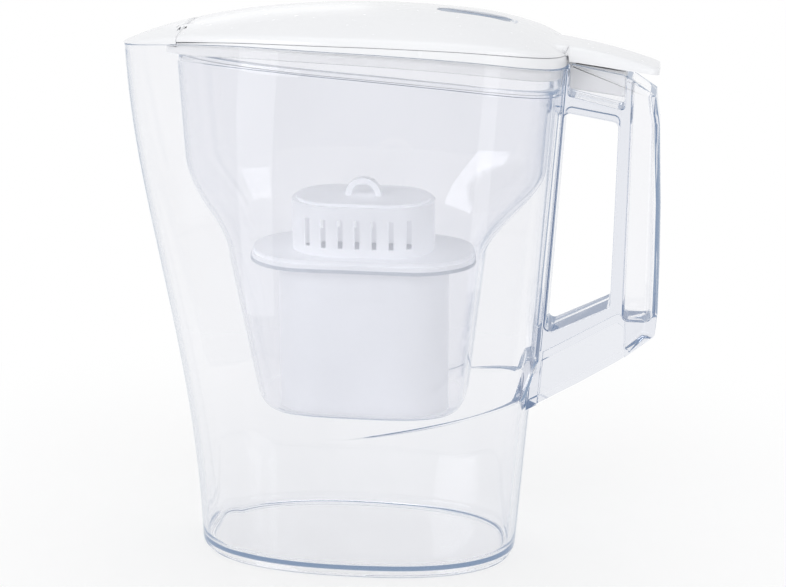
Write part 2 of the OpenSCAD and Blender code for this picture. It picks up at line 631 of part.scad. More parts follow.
module flip_lid() {
  x0 = seam_x + roll_gap / 2;
  tail_x = concat(
    [lid_end - 0.1, lid_end + 0.3],
    [for (u = [0.11, 0.22, 0.33, 0.44, 0.55, 0.66, 0.77, 0.86, 0.92, 0.96, 0.99])
      mix(lid_end, tail_end, u)]
  );
  xs = concat(spread(x0, lid_end - 1.6, 20), tail_x);
  xi = concat(spread(x0, lid_end - 1.6 - shell, 20), [for (x = tail_x) min(x, tail_end - shell)]);
  n = len(xs) - 1;
  color(white) difference() {
    union() {
      difference() {
        skin(
          concat([for (x = xs) flip_row(x, 0, x)], [flat_end(tail_end, 0, tail_end)]),
          concat(
            [for (i = [0 : n]) flip_row(xi[i] - 0.02 * max(0, i - n + 2), shell, xs[i])],
            [flat_end(tail_end - shell, shell, tail_end)]
          )
        );
        bar(seam_x - 10, flip_x, notch_y, rim_z - 14, rim_z + 16);
        for (s = [-1, 1]) translate([0, s * (ear_y + ear_t / 2), 0])
          bar(seam_x - 10, flip_x + 2.4, ear_t / 2 + ear_gap, rim_z - 14, rim_z + 16);
      }
      rod(flip_x, flip_z, roll_r, roll_w);
      bar(flip_x, flip_x + 2.6, roll_w, flip_z - 0.4, flip_z + roll_r - 0.2);
      ind_frame() difference() {
        stadium(win_a + 3.8, win_b + 3.8, tray_z, lens_flange_z + 0.8);
        stadium(win_a + 1.8, win_b + 1.8, cover_z - 1, lens_flange_z + 0.4);
      }
    }
    ind_frame() stadium(win_a + ind_gap, win_b + ind_gap, lens_z, 4);
    rod(flip_x, flip_z, pin_r + pin_gap, 20);
  }
}
module flip_hinge_pin() {
  color([0.75, 0.76, 0.78]) rod(flip_x, flip_z, pin_r, ear_y + ear_t - 0.1);
}

module spout_flap() {
  xe = 0.9975 * spout_a;
  xs = [for (i = [12 : -1 : 0]) -spread(-seam_x + roll_gap / 2, xe, 12)[i]];
  xi = [for (i = [12 : -1 : 0]) -spread(-seam_x + roll_gap / 2, xe - shell, 12)[i]];
  color(white) difference() {
    union() {
      difference() {
        skin([for (x = xs) flap_row(x, 0)], [for (x = xi) flap_row(x, shell)]);
        bar(flap_x, seam_x + 10, notch_y, rim_z - 14, rim_z + 16);
        for (s = [-1, 1]) translate([0, s * (ear_y + ear_t / 2), 0])
          bar(flap_x - 2.4, seam_x + 10, ear_t / 2 + ear_gap, rim_z - 14, rim_z + 16);
      }
      rod(flap_x, flap_z, roll_r, roll_w);
      bar(flap_x - 2.6, flap_x, roll_w, flap_z - 0.4, flap_z + roll_r - 0.5);
    }
    rod(flap_x, flap_z, pin_r + pin_gap, 20);
  }
}
module spout_hinge_pin() {
  color([0.75, 0.76, 0.78]) rod(flap_x, flap_z, pin_r, ear_y + ear_t - 0.1);
}

// ---- indicator, in the frame of the sloping lid top ----

module indicator_window() {
  color([0.45, 0.55, 0.68, 0.6]) ind_frame() {
    stadium(win_a, win_b, lens_z, lens_top);
    stadium(win_a + 1.6, win_b + 1.6, lens_z, lens_flange_z);
  }
}
module indicator_gasket() {
  color([0.2, 0.2, 0.22]) ind_frame() difference() {
    stadium(win_a + 1.6, win_b + 1.6, gasket_z, lens_z);
    stadium(win_a - 1, win_b - 1, gasket_z - 1, lens_z + 1);
  }
}
module indicator_tray() {
  color(white) ind_frame() difference() {
    stadium(win_a + 1.6, win_b + 1.6, tray_z, gasket_z);
    stadium(win_a + 1.6 - ind_wall, win_b + 1.6 - ind_wall, tray_z + 1, gasket_z + 1);
    translate([button_x, 0, tray_z - 1]) cylinder(3, r = button_r + 0.15, $fn = 48);
  }
}
module indicator_board() {
  color([0.1, 0.35, 0.2]) ind_frame()
    stadium(win_a + 0.2, win_b + 0.2, gasket_z - 1.9, gasket_z - 0.9);
}
module indicator_display() {
  color([0.55, 0.62, 0.66]) ind_frame()
    translate([display_x, 0, gasket_z - 0.9]) linear_extrude(1)
      square([2 * win_a - 12, 1.25 * win_b], center = true);
}
module indicator_cell() {
  color([0.75, 0.76, 0.78]) ind_frame()
    translate([display_x - 3, 0, tray_z + 1]) cylinder(1.8, r = win_b - 1, $fn = 64);
}
module indicator_button() {
  color([0.4, 0.55, 0.75]) ind_frame() translate([button_x, 0, 0]) {
    translate([0, 0, cover_z - 0.6]) cylinder(tray_z - cover_z + 2.2, r = button_r, $fn = 48);
    translate([0, 0, tray_z + 1.1]) cylinder(0.6, r = button_r + 1, $fn = 48);
  }
}
module indicator_cover() {
  color(white) ind_frame() difference() {
    stadium(win_a + 3.6, win_b + 3.6, cover_z, tray_z);
    translate([button_x, 0, cover_z - 1]) cylinder(4, r = button_r + 0.15, $fn = 48);
  }
}

jug();
funnel();
cartridge_shell();
cartridge_cap();
cartridge_seal();
cartridge_inlet_screen();
cartridge_outlet_screen();
filter_granules();
lid_base();
flip_lid();
flip_hinge_pin();
spout_flap();
spout_hinge_pin();
indicator_window();
indicator_gasket();
indicator_display();
indicator_board();
indicator_cell();
indicator_button();
indicator_tray();
indicator_cover();
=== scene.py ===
import math
import bpy
import bmesh
import numpy as np
from mathutils import Vector, Matrix


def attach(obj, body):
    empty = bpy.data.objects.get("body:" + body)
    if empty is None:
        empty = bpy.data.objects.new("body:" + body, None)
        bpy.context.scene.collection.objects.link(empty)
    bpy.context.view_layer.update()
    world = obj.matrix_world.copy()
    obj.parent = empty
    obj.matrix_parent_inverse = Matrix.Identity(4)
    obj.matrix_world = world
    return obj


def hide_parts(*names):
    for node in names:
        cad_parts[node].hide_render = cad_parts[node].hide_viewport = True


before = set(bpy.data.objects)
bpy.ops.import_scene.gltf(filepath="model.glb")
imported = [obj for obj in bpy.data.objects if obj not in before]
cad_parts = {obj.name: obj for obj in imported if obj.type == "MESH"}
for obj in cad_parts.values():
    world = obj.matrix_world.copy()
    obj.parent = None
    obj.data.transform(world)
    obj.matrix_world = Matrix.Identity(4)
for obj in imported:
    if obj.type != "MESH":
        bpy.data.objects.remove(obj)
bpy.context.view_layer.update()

# Jug, in millimetres. seamX is the seam between spout flap and flip lid; the shelf starts behind it
jugSize = {
    "footA": 75.8, "footB": 46.3, "footStep": 1.2, "rimZ": 254.0, "spoutA": 112.2, "wall": 2.3,
    "shelf": 1.1, "floorZ": 4.4, "floorRound": 4.2, "stepOut": 4.0, "stepRise": 1.1, "sideStep": 0.7,
    "footN": 2.42, "spoutN": 1.65, "backN": 3.1, "peakX": -38.0, "seamX": -79.25, "segments": 280,
}


# Smooth rise from 0 to 1: t^2 (3 - 2t)
def ease(t):
    c = np.clip(t, 0.0, 1.0)
    return c * c * (3 - 2 * c)


def mix(a, b, t):
    return a + (b - a) * t


def signedPower(v, p):
    return np.sign(v) * np.abs(v) ** p


# Egg outline: x = reach |cos t|^(2/n), y = depth |sin t|^(2/n), reach and n differ front and back
def egg(t, front, back, depth, nFront, nBack):
    c, s = np.cos(t), np.sin(t)
    n = np.where(c < 0, nFront, nBack)
    reach = np.where(c < 0, front, back)
    return reach * signedPower(c, 2 / n), depth * signedPower(s, 2 / n)


def eggWidth(x, front, back, depth, nFront, nBack):
    reach, n = np.where(x < 0, front, back), np.where(x < 0, nFront, nBack)
    u = np.minimum(1.0, np.abs(x) / reach)
    return depth * (1 - u ** n) ** (1 / n)


rimZ, spoutA, wall, shelf = (jugSize[k] for k in ("rimZ", "spoutA", "wall", "shelf"))
footReach = jugSize["footA"] + jugSize["footStep"]


# Height as a share of the way up to the rim
def jugLevel(z):
    return np.maximum(0.0, z / (rimZ - 6.7))


# The outline comes in by a quarter of a millimetre towards the rim
def rimTrim(z):
    return 0.25 * ease((z - 180) / 60)


# Front reach at a height: straight taper plus a smooth swing out to the spout
def jugFront(z):
    rise = ease(jugLevel(z) ** 1.15)
    return footReach + 1 + 0.035 * z + (spoutA - jugSize["footA"] - 10.9) * rise - rimTrim(z)


# Rear reach below and above the ledge: two straight tapers
def jugLow(z):
    return footReach + 0.083 * z


def jugUp(z):
    return footReach + 1 + jugSize["stepOut"] + 0.0686 * z


# Half depth at a height: straight taper
def jugDepth(z):
    return jugSize["footB"] + jugSize["footStep"] + 0.0198 * z - rimTrim(z)


# Roundness of the outline: goes evenly from the foot's to the spout's and the back's
def jugNFront(z):
    return mix(jugSize["footN"], jugSize["spoutN"], np.minimum(1.0, jugLevel(z)))


def jugNBack(z):
    return mix(jugSize["footN"], jugSize["backN"], np.minimum(1.0, jugLevel(z)))


# Over the back the rim, and the shelf under it, fall a little faster
def backFall(x):
    return np.maximum(0, (x - 45) / 47) ** 2


# Rim: two parabolas that meet at peakX
def rimHeight(x):
    d = x - jugSize["peakX"]
    return rimZ - np.where(d < 0, 0.00122, 0.00044) * d * d - 2.0 * backFall(x)


# Ledge round the back, by the cosine of the outline's angle: a gentle climb, steep at the corners
def ledgeHeight(u):
    v = np.maximum(0.0, u)
    return 69 + 17 * v ** 0.85 + 15 * ease((v - 0.915) / 0.08) + 4 * np.minimum(0.0, u)


shelfX = jugSize["seamX"] + 5.65


# Shelf that the funnel's flange hangs on: a parabola that falls to the back
def shelfHeight(x):
    d = x - shelfX
    slope = rimHeight(shelfX) - 7.85 - 0.01745 * d - 0.00032 * d * d - 1.3 * backFall(x)
    return np.minimum(rimHeight(x) - 2, slope)


def stack(x, y, z):
    return np.stack(np.broadcast_arrays(x, y, z), -1)


# Point of the jug at angle t and height z; up goes from 0 below the ledge to 1 above it
def jugPoint(t, z, up, inset):
    z = z + 0.0 * t
    back = mix(jugLow(z), jugUp(z), up * ease(np.cos(t) * 1.25))
    depth = jugDepth(z) - inset - jugSize["sideStep"] * (1 - up) * ease((np.cos(t) + 0.1) / 0.3)
    x, y = egg(t, jugFront(z) - inset, back - inset, depth, jugNFront(z), jugNBack(z))
    return stack(x, y, z)


def rimX(t):
    return jugPoint(t, rimZ - 6, 1, 0)[..., 0]


def up(z):
    return float(jugUp(z))


lipK = up(rimZ - 8)
lipB = float(jugDepth(rimZ - 1.5)) + 0.03
gripX = lipK + 44.5
gripWallX = gripX - 17.3
rimRear = float(rimHeight(lipK))
rearZ = rimRear + 2.0 * float(backFall(lipK))
armZ = rearZ - 1.36


# Angles whose points on a closed outline lie evenly spaced
def evenAngles(outline, count):
    t = np.linspace(0, 2 * math.pi, 7201)
    p = outline(t)
    length = np.concatenate([[0], np.cumsum(np.linalg.norm(np.diff(p, axis=0), axis=1))])
    return np.interp(np.arange(count) / count * length[-1], length, t)


# Meshes are made in millimetres, and finishShape turns them into metres
def makeObject(name, points, faces):
    mesh = bpy.data.meshes.new(name)
    mesh.from_pydata(np.asarray(points, float).reshape(-1, 3).tolist(), [], faces)
    mesh.validate()
    obj = bpy.data.objects.new(name, mesh)
    bpy.context.scene.collection.objects.link(obj)
    return obj


# Quads of a grid of n rows by m points
def gridFaces(n, m, closed=True, ring=False, base=0):
    i = np.arange(n if ring else n - 1)[:, None]
    j = np.arange(m if closed else m - 1)[None, :]
    h, k = (i + 1) % n, (j + 1) % m
    quads = np.stack([i * m + j, i * m + k, h * m + k, h * m + j], -1).reshape(-1, 4) + base
    return quads.tolist()


# Closed solid from rings; both ends run in towards their centre and close with a fan
def tubeObject(name, rings, shares=(0.8, 0.55, 0.3, 0.1)):
    rings = list(rings)
    first, last = rings[0], rings[-1]
    a, b = first.mean(0), last.mean(0)
    rings = [a + (first - a) * s for s in shares[::-1]] + rings
    rings = rings + [b + (last - b) * s for s in shares]
    n, m = len(rings), len(first)
    points = np.concatenate([np.concatenate(rings), [a, b]])
    j = np.arange(m)
    k = (j + 1) % m
    faces = gridFaces(n, m)
    faces += np.stack([j * 0 + n * m, k, j], -1).tolist()
    faces += np.stack([j * 0 + n * m + 1, (n - 1) * m + j, (n - 1) * m + k], -1).tolist()
    return makeObject(name, points, faces)


# Closed band: the last ring joins the first
def bandObject(name, rings):
    return makeObject(name, np.concatenate(rings), gridFaces(len(rings), len(rings[0]), ring=True))


# Corners of a polygon rounded by the radius in each point's third value
def rounded(points, steps=7):
    out, n = [], len(points)
    for i in range(n):
        a, b, c = (np.array(points[(i + d) % n][:2], float) for d in (-1, 0, 1))
        r = points[i][2]
        if r == 0:
            out.append(b)
            continue
        u, v = (a - b) / np.linalg.norm(a - b), (c - b) / np.linalg.norm(c - b)
        half = math.acos(max(-1, min(1, float(u @ v)))) / 2
        middle = b + (u + v) / np.linalg.norm(u + v) * r / math.sin(half)
        p, q = b + u * r / math.tan(half) - middle, b + v * r / math.tan(half) - middle
        a0 = math.atan2(p[1], p[0])
        turn = (math.atan2(q[1], q[0]) - a0 + math.pi) % (2 * math.pi) - math.pi
        angles = a0 + turn * np.linspace(0, 1, steps)
        out += [middle + r * np.array([math.cos(s), math.sin(s)]) for s in angles]
    return np.array(out)


anyX = 1e9  # for a station whose outline isn't cut off anywhere


# Closed solid from rows of points, with a flat face over each end
def cappedObject(name, rows):
    n, m = len(rows), len(rows[0])
    faces = gridFaces(n, m) + [list(range(m)), list(range((n - 1) * m, n * m))[::-1]]
    obj = makeObject(name, np.concatenate(rows), faces)
    turnOutward(obj)
    return obj


# Side-view polygon (x, z) lofted along Y through stations of (y, growth of the outline, largest x)
def loftObject(name, polygon, stations):
    p = np.asarray(polygon, float)
    before, after = p - np.roll(p, 1, 0), np.roll(p, -1, 0) - p
    area = np.sum(p[:, 0] * np.roll(p[:, 1], -1) - np.roll(p[:, 0], -1) * p[:, 1])
    side = 1.0 if area > 0 else -1.0
    na = np.stack([before[:, 1], -before[:, 0]], 1) / np.linalg.norm(before, axis=1)[:, None]
    nb = np.stack([after[:, 1], -after[:, 0]], 1) / np.linalg.norm(after, axis=1)[:, None]
    normal = (na + nb) * side
    normal /= np.linalg.norm(normal, axis=1)[:, None]
    normal /= np.clip(np.sum(normal * na * side, 1), 0.5, 1)[:, None]
    rows = []
    for y, grow, farX in stations:
        q = p + normal * grow
        rows.append(stack(np.minimum(q[:, 0], farX), y, q[:, 1]))
    return cappedObject(name, rows)


def bothSides(stations):
    return [(-y, g, x) for y, g, x in stations[::-1]] + stations


# Stations across a straight width, with both edges rounded by r (rounded out for a cutter, r < 0)
def roundStations(half, r, steps=5):
    angles = np.linspace(0, math.pi / 2, steps)
    edge = [(half - abs(r) * (1 - math.sin(a)), -r * (1 - math.cos(a)), anyX) for a in angles]
    return bothSides(edge)


def turnOutward(obj):
    bm = bmesh.new()
    bm.from_mesh(obj.data)
    bmesh.ops.remove_doubles(bm, verts=bm.verts, dist=1e-5)
    bmesh.ops.recalc_face_normals(bm, faces=bm.faces)
    bm.to_mesh(obj.data)
    bm.free()


def bake(obj):
    graph = bpy.context.evaluated_depsgraph_get()
    mesh = bpy.data.meshes.new_from_object(obj.evaluated_get(graph))
    obj.modifiers.clear()
    obj.data = mesh


def combine(obj, tools, operation):
    for tool in tools:
        step = obj.modifiers.new("combine", "BOOLEAN")
        step.operation, step.solver, step.object = operation, "MANIFOLD", tool
    before = len(obj.data.polygons)
    bake(obj)
    print("  combined", obj.name, operation, len(tools), "faces", before, "to", len(obj.data.polygons))
    for tool in tools:
        bpy.data.objects.remove(tool)


def circle(cx, cy, radius, count=48):
    a = np.arange(count) * 2 * math.pi / count
    return np.stack([cx + radius * np.cos(a), cy + radius * np.sin(a)], 1)


# Rod along Y, from -half to half
def rodObject(name, x, z, radius, half):
    return loftObject(name, circle(x, z, radius), [(-half, 0, anyX), (half, 0, anyX)])


def boxObject(name, x0, x1, half, z0, z1):
    corners = [(x0, z0), (x1, z0), (x1, z1), (x0, z1)]
    return loftObject(name, corners, [(-half, 0, anyX), (half, 0, anyX)])


# Vertical cylinder cutter
def drillObject(name, x, y, radius, z0, z1):
    rings = [stack(*circle(x, y, radius).T, z) for z in (z0, z1)]
    return tubeObject(name, rings, shares=())


# Smooth faces with creases kept sharp, millimetres to metres, faces outward
def finishShape(obj, creaseDegrees=34):
    bm = bmesh.new()
    bm.from_mesh(obj.data)
    bmesh.ops.remove_doubles(bm, verts=bm.verts, dist=0.004)
    bmesh.ops.dissolve_degenerate(bm, edges=bm.edges, dist=0.003)
    bmesh.ops.recalc_face_normals(bm, faces=bm.faces)
    limit = math.radians(creaseDegrees)
    for edge in bm.edges:
        edge.smooth = len(edge.link_faces) == 2 and edge.calc_face_angle() < limit
    for face in bm.faces:
        face.smooth = True
    bmesh.ops.scale(bm, vec=Vector((0.001, 0.001, 0.001)), verts=bm.verts)
    bm.to_mesh(obj.data)
    bm.free()
    # Flat faces stay flat beside their rounded edges
    flat = obj.modifiers.new("flat", "WEIGHTED_NORMAL")
    flat.keep_sharp = True
    bake(obj)
    print("finished", obj.name, len(obj.data.polygons), "faces")


jugAngles = evenAngles(lambda t: jugPoint(t, 150.0, 1, 0), jugSize["segments"])


# Rise and outward share along the ledge's step, with short rounded ends
stepCurve = [
    (0.1, 0.03), (0.2, 0.1), (0.32, 0.24), (0.5, 0.5), (0.68, 0.76), (0.8, 0.9), (0.9, 0.97), (1, 1),
]


# Profile of the jug from under the foot, up outside, over the rim and down inside to the floor
def jugRings():
    t = jugAngles
    ledge, x = ledgeHeight(np.cos(t)), rimX(t)
    rim, seat, step = rimHeight(x), shelfHeight(x), jugSize["stepRise"]
    thick = wall + shelf * ease((x + 84) / 20)
    rows = []

    def add(z, up, inset):
        rows.append(jugPoint(t, z, up, inset))

    def foot(z, inset):
        a, b, n = jugSize["footA"] - inset, jugSize["footB"] - inset, jugSize["footN"]
        fx, fy = egg(t, a, a, b, n, n)
        rows.append(stack(fx, fy, z))

    for z, inset in ((3.1, 8), (3.1, 3.4), (2.95, 2.9), (2.6, 2.7), (0.3, 2.6), (0.05, 2.4), (0, 2.1),
                     (0, 0.6), (0.05, 0.3), (0.35, 0.08), (1.0, 0)):
        foot(z, inset)
    for z, inset in ((1.3, 0.95), (1.8, 0.55), (2.6, 0.2), (3.6, 0)):
        add(z, 0, inset)
    for f in np.linspace(0, 1, 34)[1:]:
        add(mix(3.6, ledge, f), 0, 0)
    for g, share in stepCurve:
        add(ledge + step * g, share, 0)
    for f in np.linspace(0, 1, 48)[1:]:
        add(mix(ledge + step, rim - 0.6, f), 1, 0)
    for a in np.radians([25, 50, 75, 90]):
        add(rim - 0.6 + 0.6 * math.sin(a), 1, 0.6 * (1 - math.cos(a)))
    for a in np.radians([0, 30, 60, 90]):
        add(rim - 0.4 + 0.4 * math.cos(a), 1, wall - 0.4 + 0.4 * math.sin(a))
    for f in np.linspace(0, 1, 8)[1:]:
        add(mix(rim - 0.4, seat + 0.02, f), 1, wall)
    add(seat, 1, mix(wall, thick, 0.8))
    for f in np.linspace(0, 1, 40):
        add(mix(seat - 0.25, ledge + step, f), 1, thick)
    for g, share in stepCurve[-2::-1] + [(0, 0)]:
        add(ledge + step * g, share, thick)
    r = jugSize["floorRound"]
    for f in np.linspace(0, 1, 30)[1:]:
        add(mix(ledge, jugSize["floorZ"] + r, f), 0, thick)
    for a in np.radians([15, 30, 45, 60, 75, 90]):
        add(jugSize["floorZ"] + r * (1 - math.sin(a)), 0, thick + r * (1 - math.cos(a)))
    return rows


handleSize = {"half": 13.0, "wall": 2.6, "recess": 3.2, "round": 7.0, "edge": 0.9}


def gripZ(f):
    return mix(126, armZ - 27.4, f)


# Side view of arms and grip drawn along Y, less finger hole, channel, grip hollow and side recesses
def handleObject():
    half, inner, edge = handleSize["half"], handleSize["half"] - handleSize["wall"], handleSize["edge"]
    armX = float(jugLow(77.5))
    outline = rounded([
        (armX - 1.4, 76, 0), (armX, 77, 0), (mix(armX, gripWallX, 0.56), 90.9, 0),
        (gripWallX, 102.8, 6), (gripX - 1.1, 115.5, 3), (gripX - 0.1, 126, 0),
        (gripX, gripZ(0.264), 0), (gripX - 0.5, gripZ(0.582), 0), (gripX - 2.2, gripZ(1), 0),
        (gripX - 4.2, armZ - 14.2, 0.6), (gripWallX + 1.9, armZ - 6.8, 0),
        (gripWallX - 2.1, armZ - 4.8, 0), (lipK + 1.8, armZ - 0.4, 0.5),
        (lipK + 0.9, rimRear - 1.4, 0.3), (up(armZ) - 1.2, rimRear - 1.4, 0),
        (up(113) - 1.2, 113, 0), (up(96) - 1.5, 96, 0), (float(jugLow(92)) - 1.5, 92, 0),
    ])
    # Seen from above the rear corners are round: x <= gripX - r + sqrt(r^2 - (|y| - half + r)^2)
    r = handleSize["round"]

    def farX(y):
        d = max(0.0, abs(y) - half + r)
        return gripX - r + math.sqrt(max(0.0, r * r - d * d))

    ys = [half - r + r * s for s in (0, 0.2, 0.4, 0.55, 0.68, 0.78)]
    stations = [(y, 0.0) for y in ys] + [(y, g) for y, g, x in roundStations(half, edge)[5:]]
    obj = loftObject("handle", outline, bothSides([(y, g, farX(y)) for y, g in stations]))
    hole = rounded([
        (up(armZ - 23) + 0.6, armZ - 22.8, 2.5), (gripX - 20.8, armZ - 27, 3),
        (gripX - 21.4, gripZ(0.582), 0), (gripX - 22, gripZ(0.264), 0),
        (gripX - 22.4, 129.5, 3), (up(119) + 0.6, 114.9, 2.5),
    ])
    wide = [(half - edge * (1 - math.sin(a)), edge * (1 - math.cos(a))) for a in np.linspace(0, 1.57, 5)]
    wide = [(y, g, anyX) for y, g in wide + [(half + 1, edge)]]
    tools = [loftObject("finger_hole", hole, bothSides(wide))]
    channel = rounded([
        (up(armZ - 13) + 1.4, rimZ + 6, 0), (up(armZ - 13) + 0.8, armZ - 15.4, 2),
        (gripWallX - 0.5, armZ - 21.8, 2), (gripWallX, rimZ + 6, 0),
    ])
    tools.append(loftObject("channel", channel, roundStations(inner, 0.9)))
    hollow = rounded([
        (gripWallX + 2.2, rimZ + 6, 0), (gripWallX + 0.4, 122, 3), (gripX - 3.6, 122, 3),
        (gripX - 3, gripZ(0.264), 0), (gripX - 3.4, gripZ(0.582), 0), (gripX - 5, gripZ(1), 0),
        (gripX - 7.2, armZ - 8.4, 0), (gripX - 9, rimZ + 6, 0),
    ])
    inside = [(y, g, gripX - 2.4 - 5 + math.sqrt(max(0.0, 25 - max(0.0, abs(y) - inner + 5) ** 2)))
              for y, g, x in roundStations(inner, 1.5, steps=7)]
    inside += [(s * y, 0.0, gripX - 7.4 + math.sqrt(25 - (y - inner + 5) ** 2))
               for s in (-1, 1) for y in (inner - 4, inner - 3, inner - 2)]
    tools.append(loftObject("grip_hollow", hollow, sorted(inside)))
    recess = rounded([
        (float(jugLow(70)) + 4, 70, 0), (float(jugLow(70)) + 6.2, 101.5, 1), (gripX - 18.8, 122.4, 1.5),
        (gripX - 15.4, 119.6, 1.5), (gripX - 14.2, 90, 0),
    ])
    depth = half - handleSize["recess"]
    for s in (-1, 1):
        at = [(depth, -0.5), (depth + 0.15, -0.15), (depth + 0.5, 0), (half + 3, 0)]
        tools.append(loftObject("recess", recess, [(s * y, g, anyX) for y, g in at][::s]))
    combine(obj, tools, "DIFFERENCE")
    return obj


jug = tubeObject("jug_clear", jugRings())
combine(jug, [handleObject()], "UNION")
finishShape(jug)


funnelSize = {
    "wall": 1.8, "wellZ": 71.6, "collarZ": 148.0, "hopperH": 48.0, "flangeA": 86.0, "flangeH": 1.9,
    "flangeGap": 0.45, "seat": 0.3, "wellN": 3.2, "flangeN": 1.9, "floor": 1.3, "wellRound": 10,
    "floorRound": 7, "outletR": 3.0, "outletX": 2.75, "outletStep": 12, "segments": 240,
}
fz = funnelSize
hopperZ = fz["collarZ"] + fz["hopperH"]
mouthK = up(hopperZ) - wall - shelf - 2.1
mouthB = float(jugDepth(hopperZ)) - wall - shelf - 2.1


# Smooth widening from the collar to the hopper's full mouth
def hop(z):
    return ease((z - fz["collarZ"]) / fz["hopperH"])


# Reach at a height: straight from well to neck, then widening to the mouth, then a slight slope
def funnelReach(z, well, neck, mouth, slope):
    rise = np.clip((z - fz["wellZ"] - 5.5) / (fz["collarZ"] - fz["wellZ"] - 5.5), 0, 1)
    return mix(mix(well, neck, rise), mouth, hop(z)) + slope * np.maximum(0, z - hopperZ)


# Points drawn in where they would come nearer to the jug's outline than the gap
def keptIn(x, y, z, gap):
    w = eggWidth(x, jugFront(z) - gap, jugUp(z) - gap, jugDepth(z) - gap, jugNFront(z), jugNBack(z))
    return stack(x, np.sign(y) * np.minimum(np.abs(y), w), z)


def funnelPoint(t, z, inset):
    z = z + 0.0 * t
    x, y = egg(
        t, funnelReach(z, 47.0, 60.7, fz["flangeA"] - 4.6, 0.07) - inset,
        funnelReach(z, 52.5, 60.7, mouthK, 0.07) - inset,
        funnelReach(z, 30.0, 33.55, mouthB, 0.035) - inset,
        mix(fz["wellN"], fz["flangeN"], hop(z)), mix(fz["wellN"], jugSize["backN"], hop(z)))
    return keptIn(x, y, z, wall + shelf + 0.6 + inset)


def flangePoint(t, z, inset):
    z = z + 0.0 * t
    g = wall + fz["flangeGap"] + inset
    x, y = egg(t, fz["flangeA"] - inset, jugUp(z) - g, jugDepth(z) - g - 0.3, fz["flangeN"], jugNBack(z))
    return keptIn(x, y, z, g)


# Profile of the funnel from under the well, up outside, round the flange and down inside
def funnelRings():
    t = evenAngles(lambda a: flangePoint(a, 240.0, 0), fz["segments"])
    seat = shelfHeight(flangePoint(t, rimZ - 14, 0)[..., 0]) + fz["seat"]
    rows, w, h, low, r = [], fz["wall"], fz["flangeH"], fz["wellZ"], fz["wellRound"]

    def add(point, z, inset):
        rows.append(point(t, z, inset))

    for a in np.radians([90, 75, 60, 45, 30, 15, 0]):
        add(funnelPoint, low + r - r * math.sin(a), r * (1 - math.cos(a)))
    heights = list(np.linspace(low + r, fz["collarZ"], 18)[1:])
    heights += list(np.linspace(fz["collarZ"], hopperZ, 20)[1:])
    for z in heights:
        add(funnelPoint, z, 0)
    for f in np.linspace(0, 1, 16)[1:]:
        add(funnelPoint, mix(hopperZ, seat, f), 0)
    for a in np.radians([0, 30, 60, 90]):
        add(flangePoint, seat + 0.5 * (1 - math.cos(a)), 0.5 * (1 - math.sin(a)))
    for a in np.radians([0, 30, 60, 90]):
        add(flangePoint, seat + h - 0.5 * (1 - math.sin(a)), 0.5 * (1 - math.cos(a)))
    add(flangePoint, seat + h, 4.2)
    for f in np.linspace(0.96, 0, 15):
        add(funnelPoint, mix(hopperZ, seat, f), w)
    for z in heights[::-1][1:]:
        add(funnelPoint, z, w)
    r = fz["floorRound"]
    for a in np.radians([0, 18, 36, 54, 72, 90]):
        add(funnelPoint, low + fz["floor"] + r - r * math.sin(a), w + r * (1 - math.cos(a)))
    return rows


funnel = tubeObject("funnel_clear", funnelRings())
outlets = [fz["outletX"] + fz["outletStep"] * i for i in (-2, -1, 0, 1, 2)]
combine(funnel, [drillObject("hole", x, 0, fz["outletR"], 68, 75) for x in outlets], "DIFFERENCE")
finishShape(funnel)


lidSize = {
    "shell": 2.2, "gap": 0.25, "skirtH": 5.5, "rollR": 1.5, "rollGap": 0.3, "pinR": 0.75, "pinGap": 0.05,
    "rollW": 10.0, "earR": 2.25, "earT": 3.0, "earGap": 0.35, "notchR": 2.42, "skirtGap": 0.5,
    "skirtT": 1.9, "deckW": 10.0, "crownX": 10.0, "crownFall": 0.00128, "crownRise": 13.3,
    "archN": 2.0, "archPower": 0.95, "band": 2.6, "tailOffN": 2.3, "tailOffPower": 0.78,
    "flipZ": 257.288, "flapZ": 256.692,
}
windowSize = {
    "a": 18.0, "b": 5.4, "rimB": 7.2, "gap": 0.15, "sink": 0.3, "back": 25.7,
    "z": 267.201, "tilt": 6.00343, "flangeZ": -3.297, "lensZ": -4.197, "trayH": 4.8,
}
lz, seamX = lidSize, jugSize["seamX"]
crownZ = rimZ + lz["crownRise"]
flipX = seamX + lz["rollR"] + lz["rollGap"] / 2
flapX = seamX - lz["rollR"] - lz["rollGap"] / 2
flipZ, flapZ = lz["flipZ"], lz["flapZ"]
ringX0, barX1 = seamX - 5.15, seamX + 5.75
browX = seamX + 1.75
earY = lz["rollW"] + lz["earGap"]
notchY = earY + lz["earT"] + lz["earGap"]
lidEnd = lipK + 0.35
indX = lidEnd - windowSize["back"] - windowSize["a"]
indTilt, indicatorZ = math.radians(windowSize["tilt"]), windowSize["z"]
lensFlangeZ, lensZ = windowSize["flangeZ"], windowSize["lensZ"]
trayZ = lensZ - 0.7 - windowSize["trayH"]
rollOff = indX - 0.5
tailEnd, tailRound = gripX - 3, 4.5


# Top of the ring: climbs a little against the rim towards the back
def ringTop(x):
    return rimHeight(x) + 0.6 + 0.0263 * (x - ringX0)


def lidWidth(x, inset):
    return eggWidth(x, spoutA - inset, lipK - inset, lipB - inset, jugSize["spoutN"], jugSize["backN"])


# Crown line on the middle plane: a flat fourth-power curve to the front, a parabola to the back
def crown(x):
    d = x - lz["crownX"]
    return crownZ - np.where(d < 0, 0.00088 * d * d + 2.9e-8 * d ** 4, lz["crownFall"] * d * d)


def crownFront(x):
    u = (browX - x) / (spoutA + browX)
    return mix(crown(browX), rimHeight(-spoutA) + 0.92, 0.55 * u + 0.45 * u * u)


# Cross-section of the dome: (1 - s^n)^p of the share s of the half width
def arch(s):
    return np.maximum(0, 1 - np.abs(s) ** lz["archN"]) ** lz["archPower"]


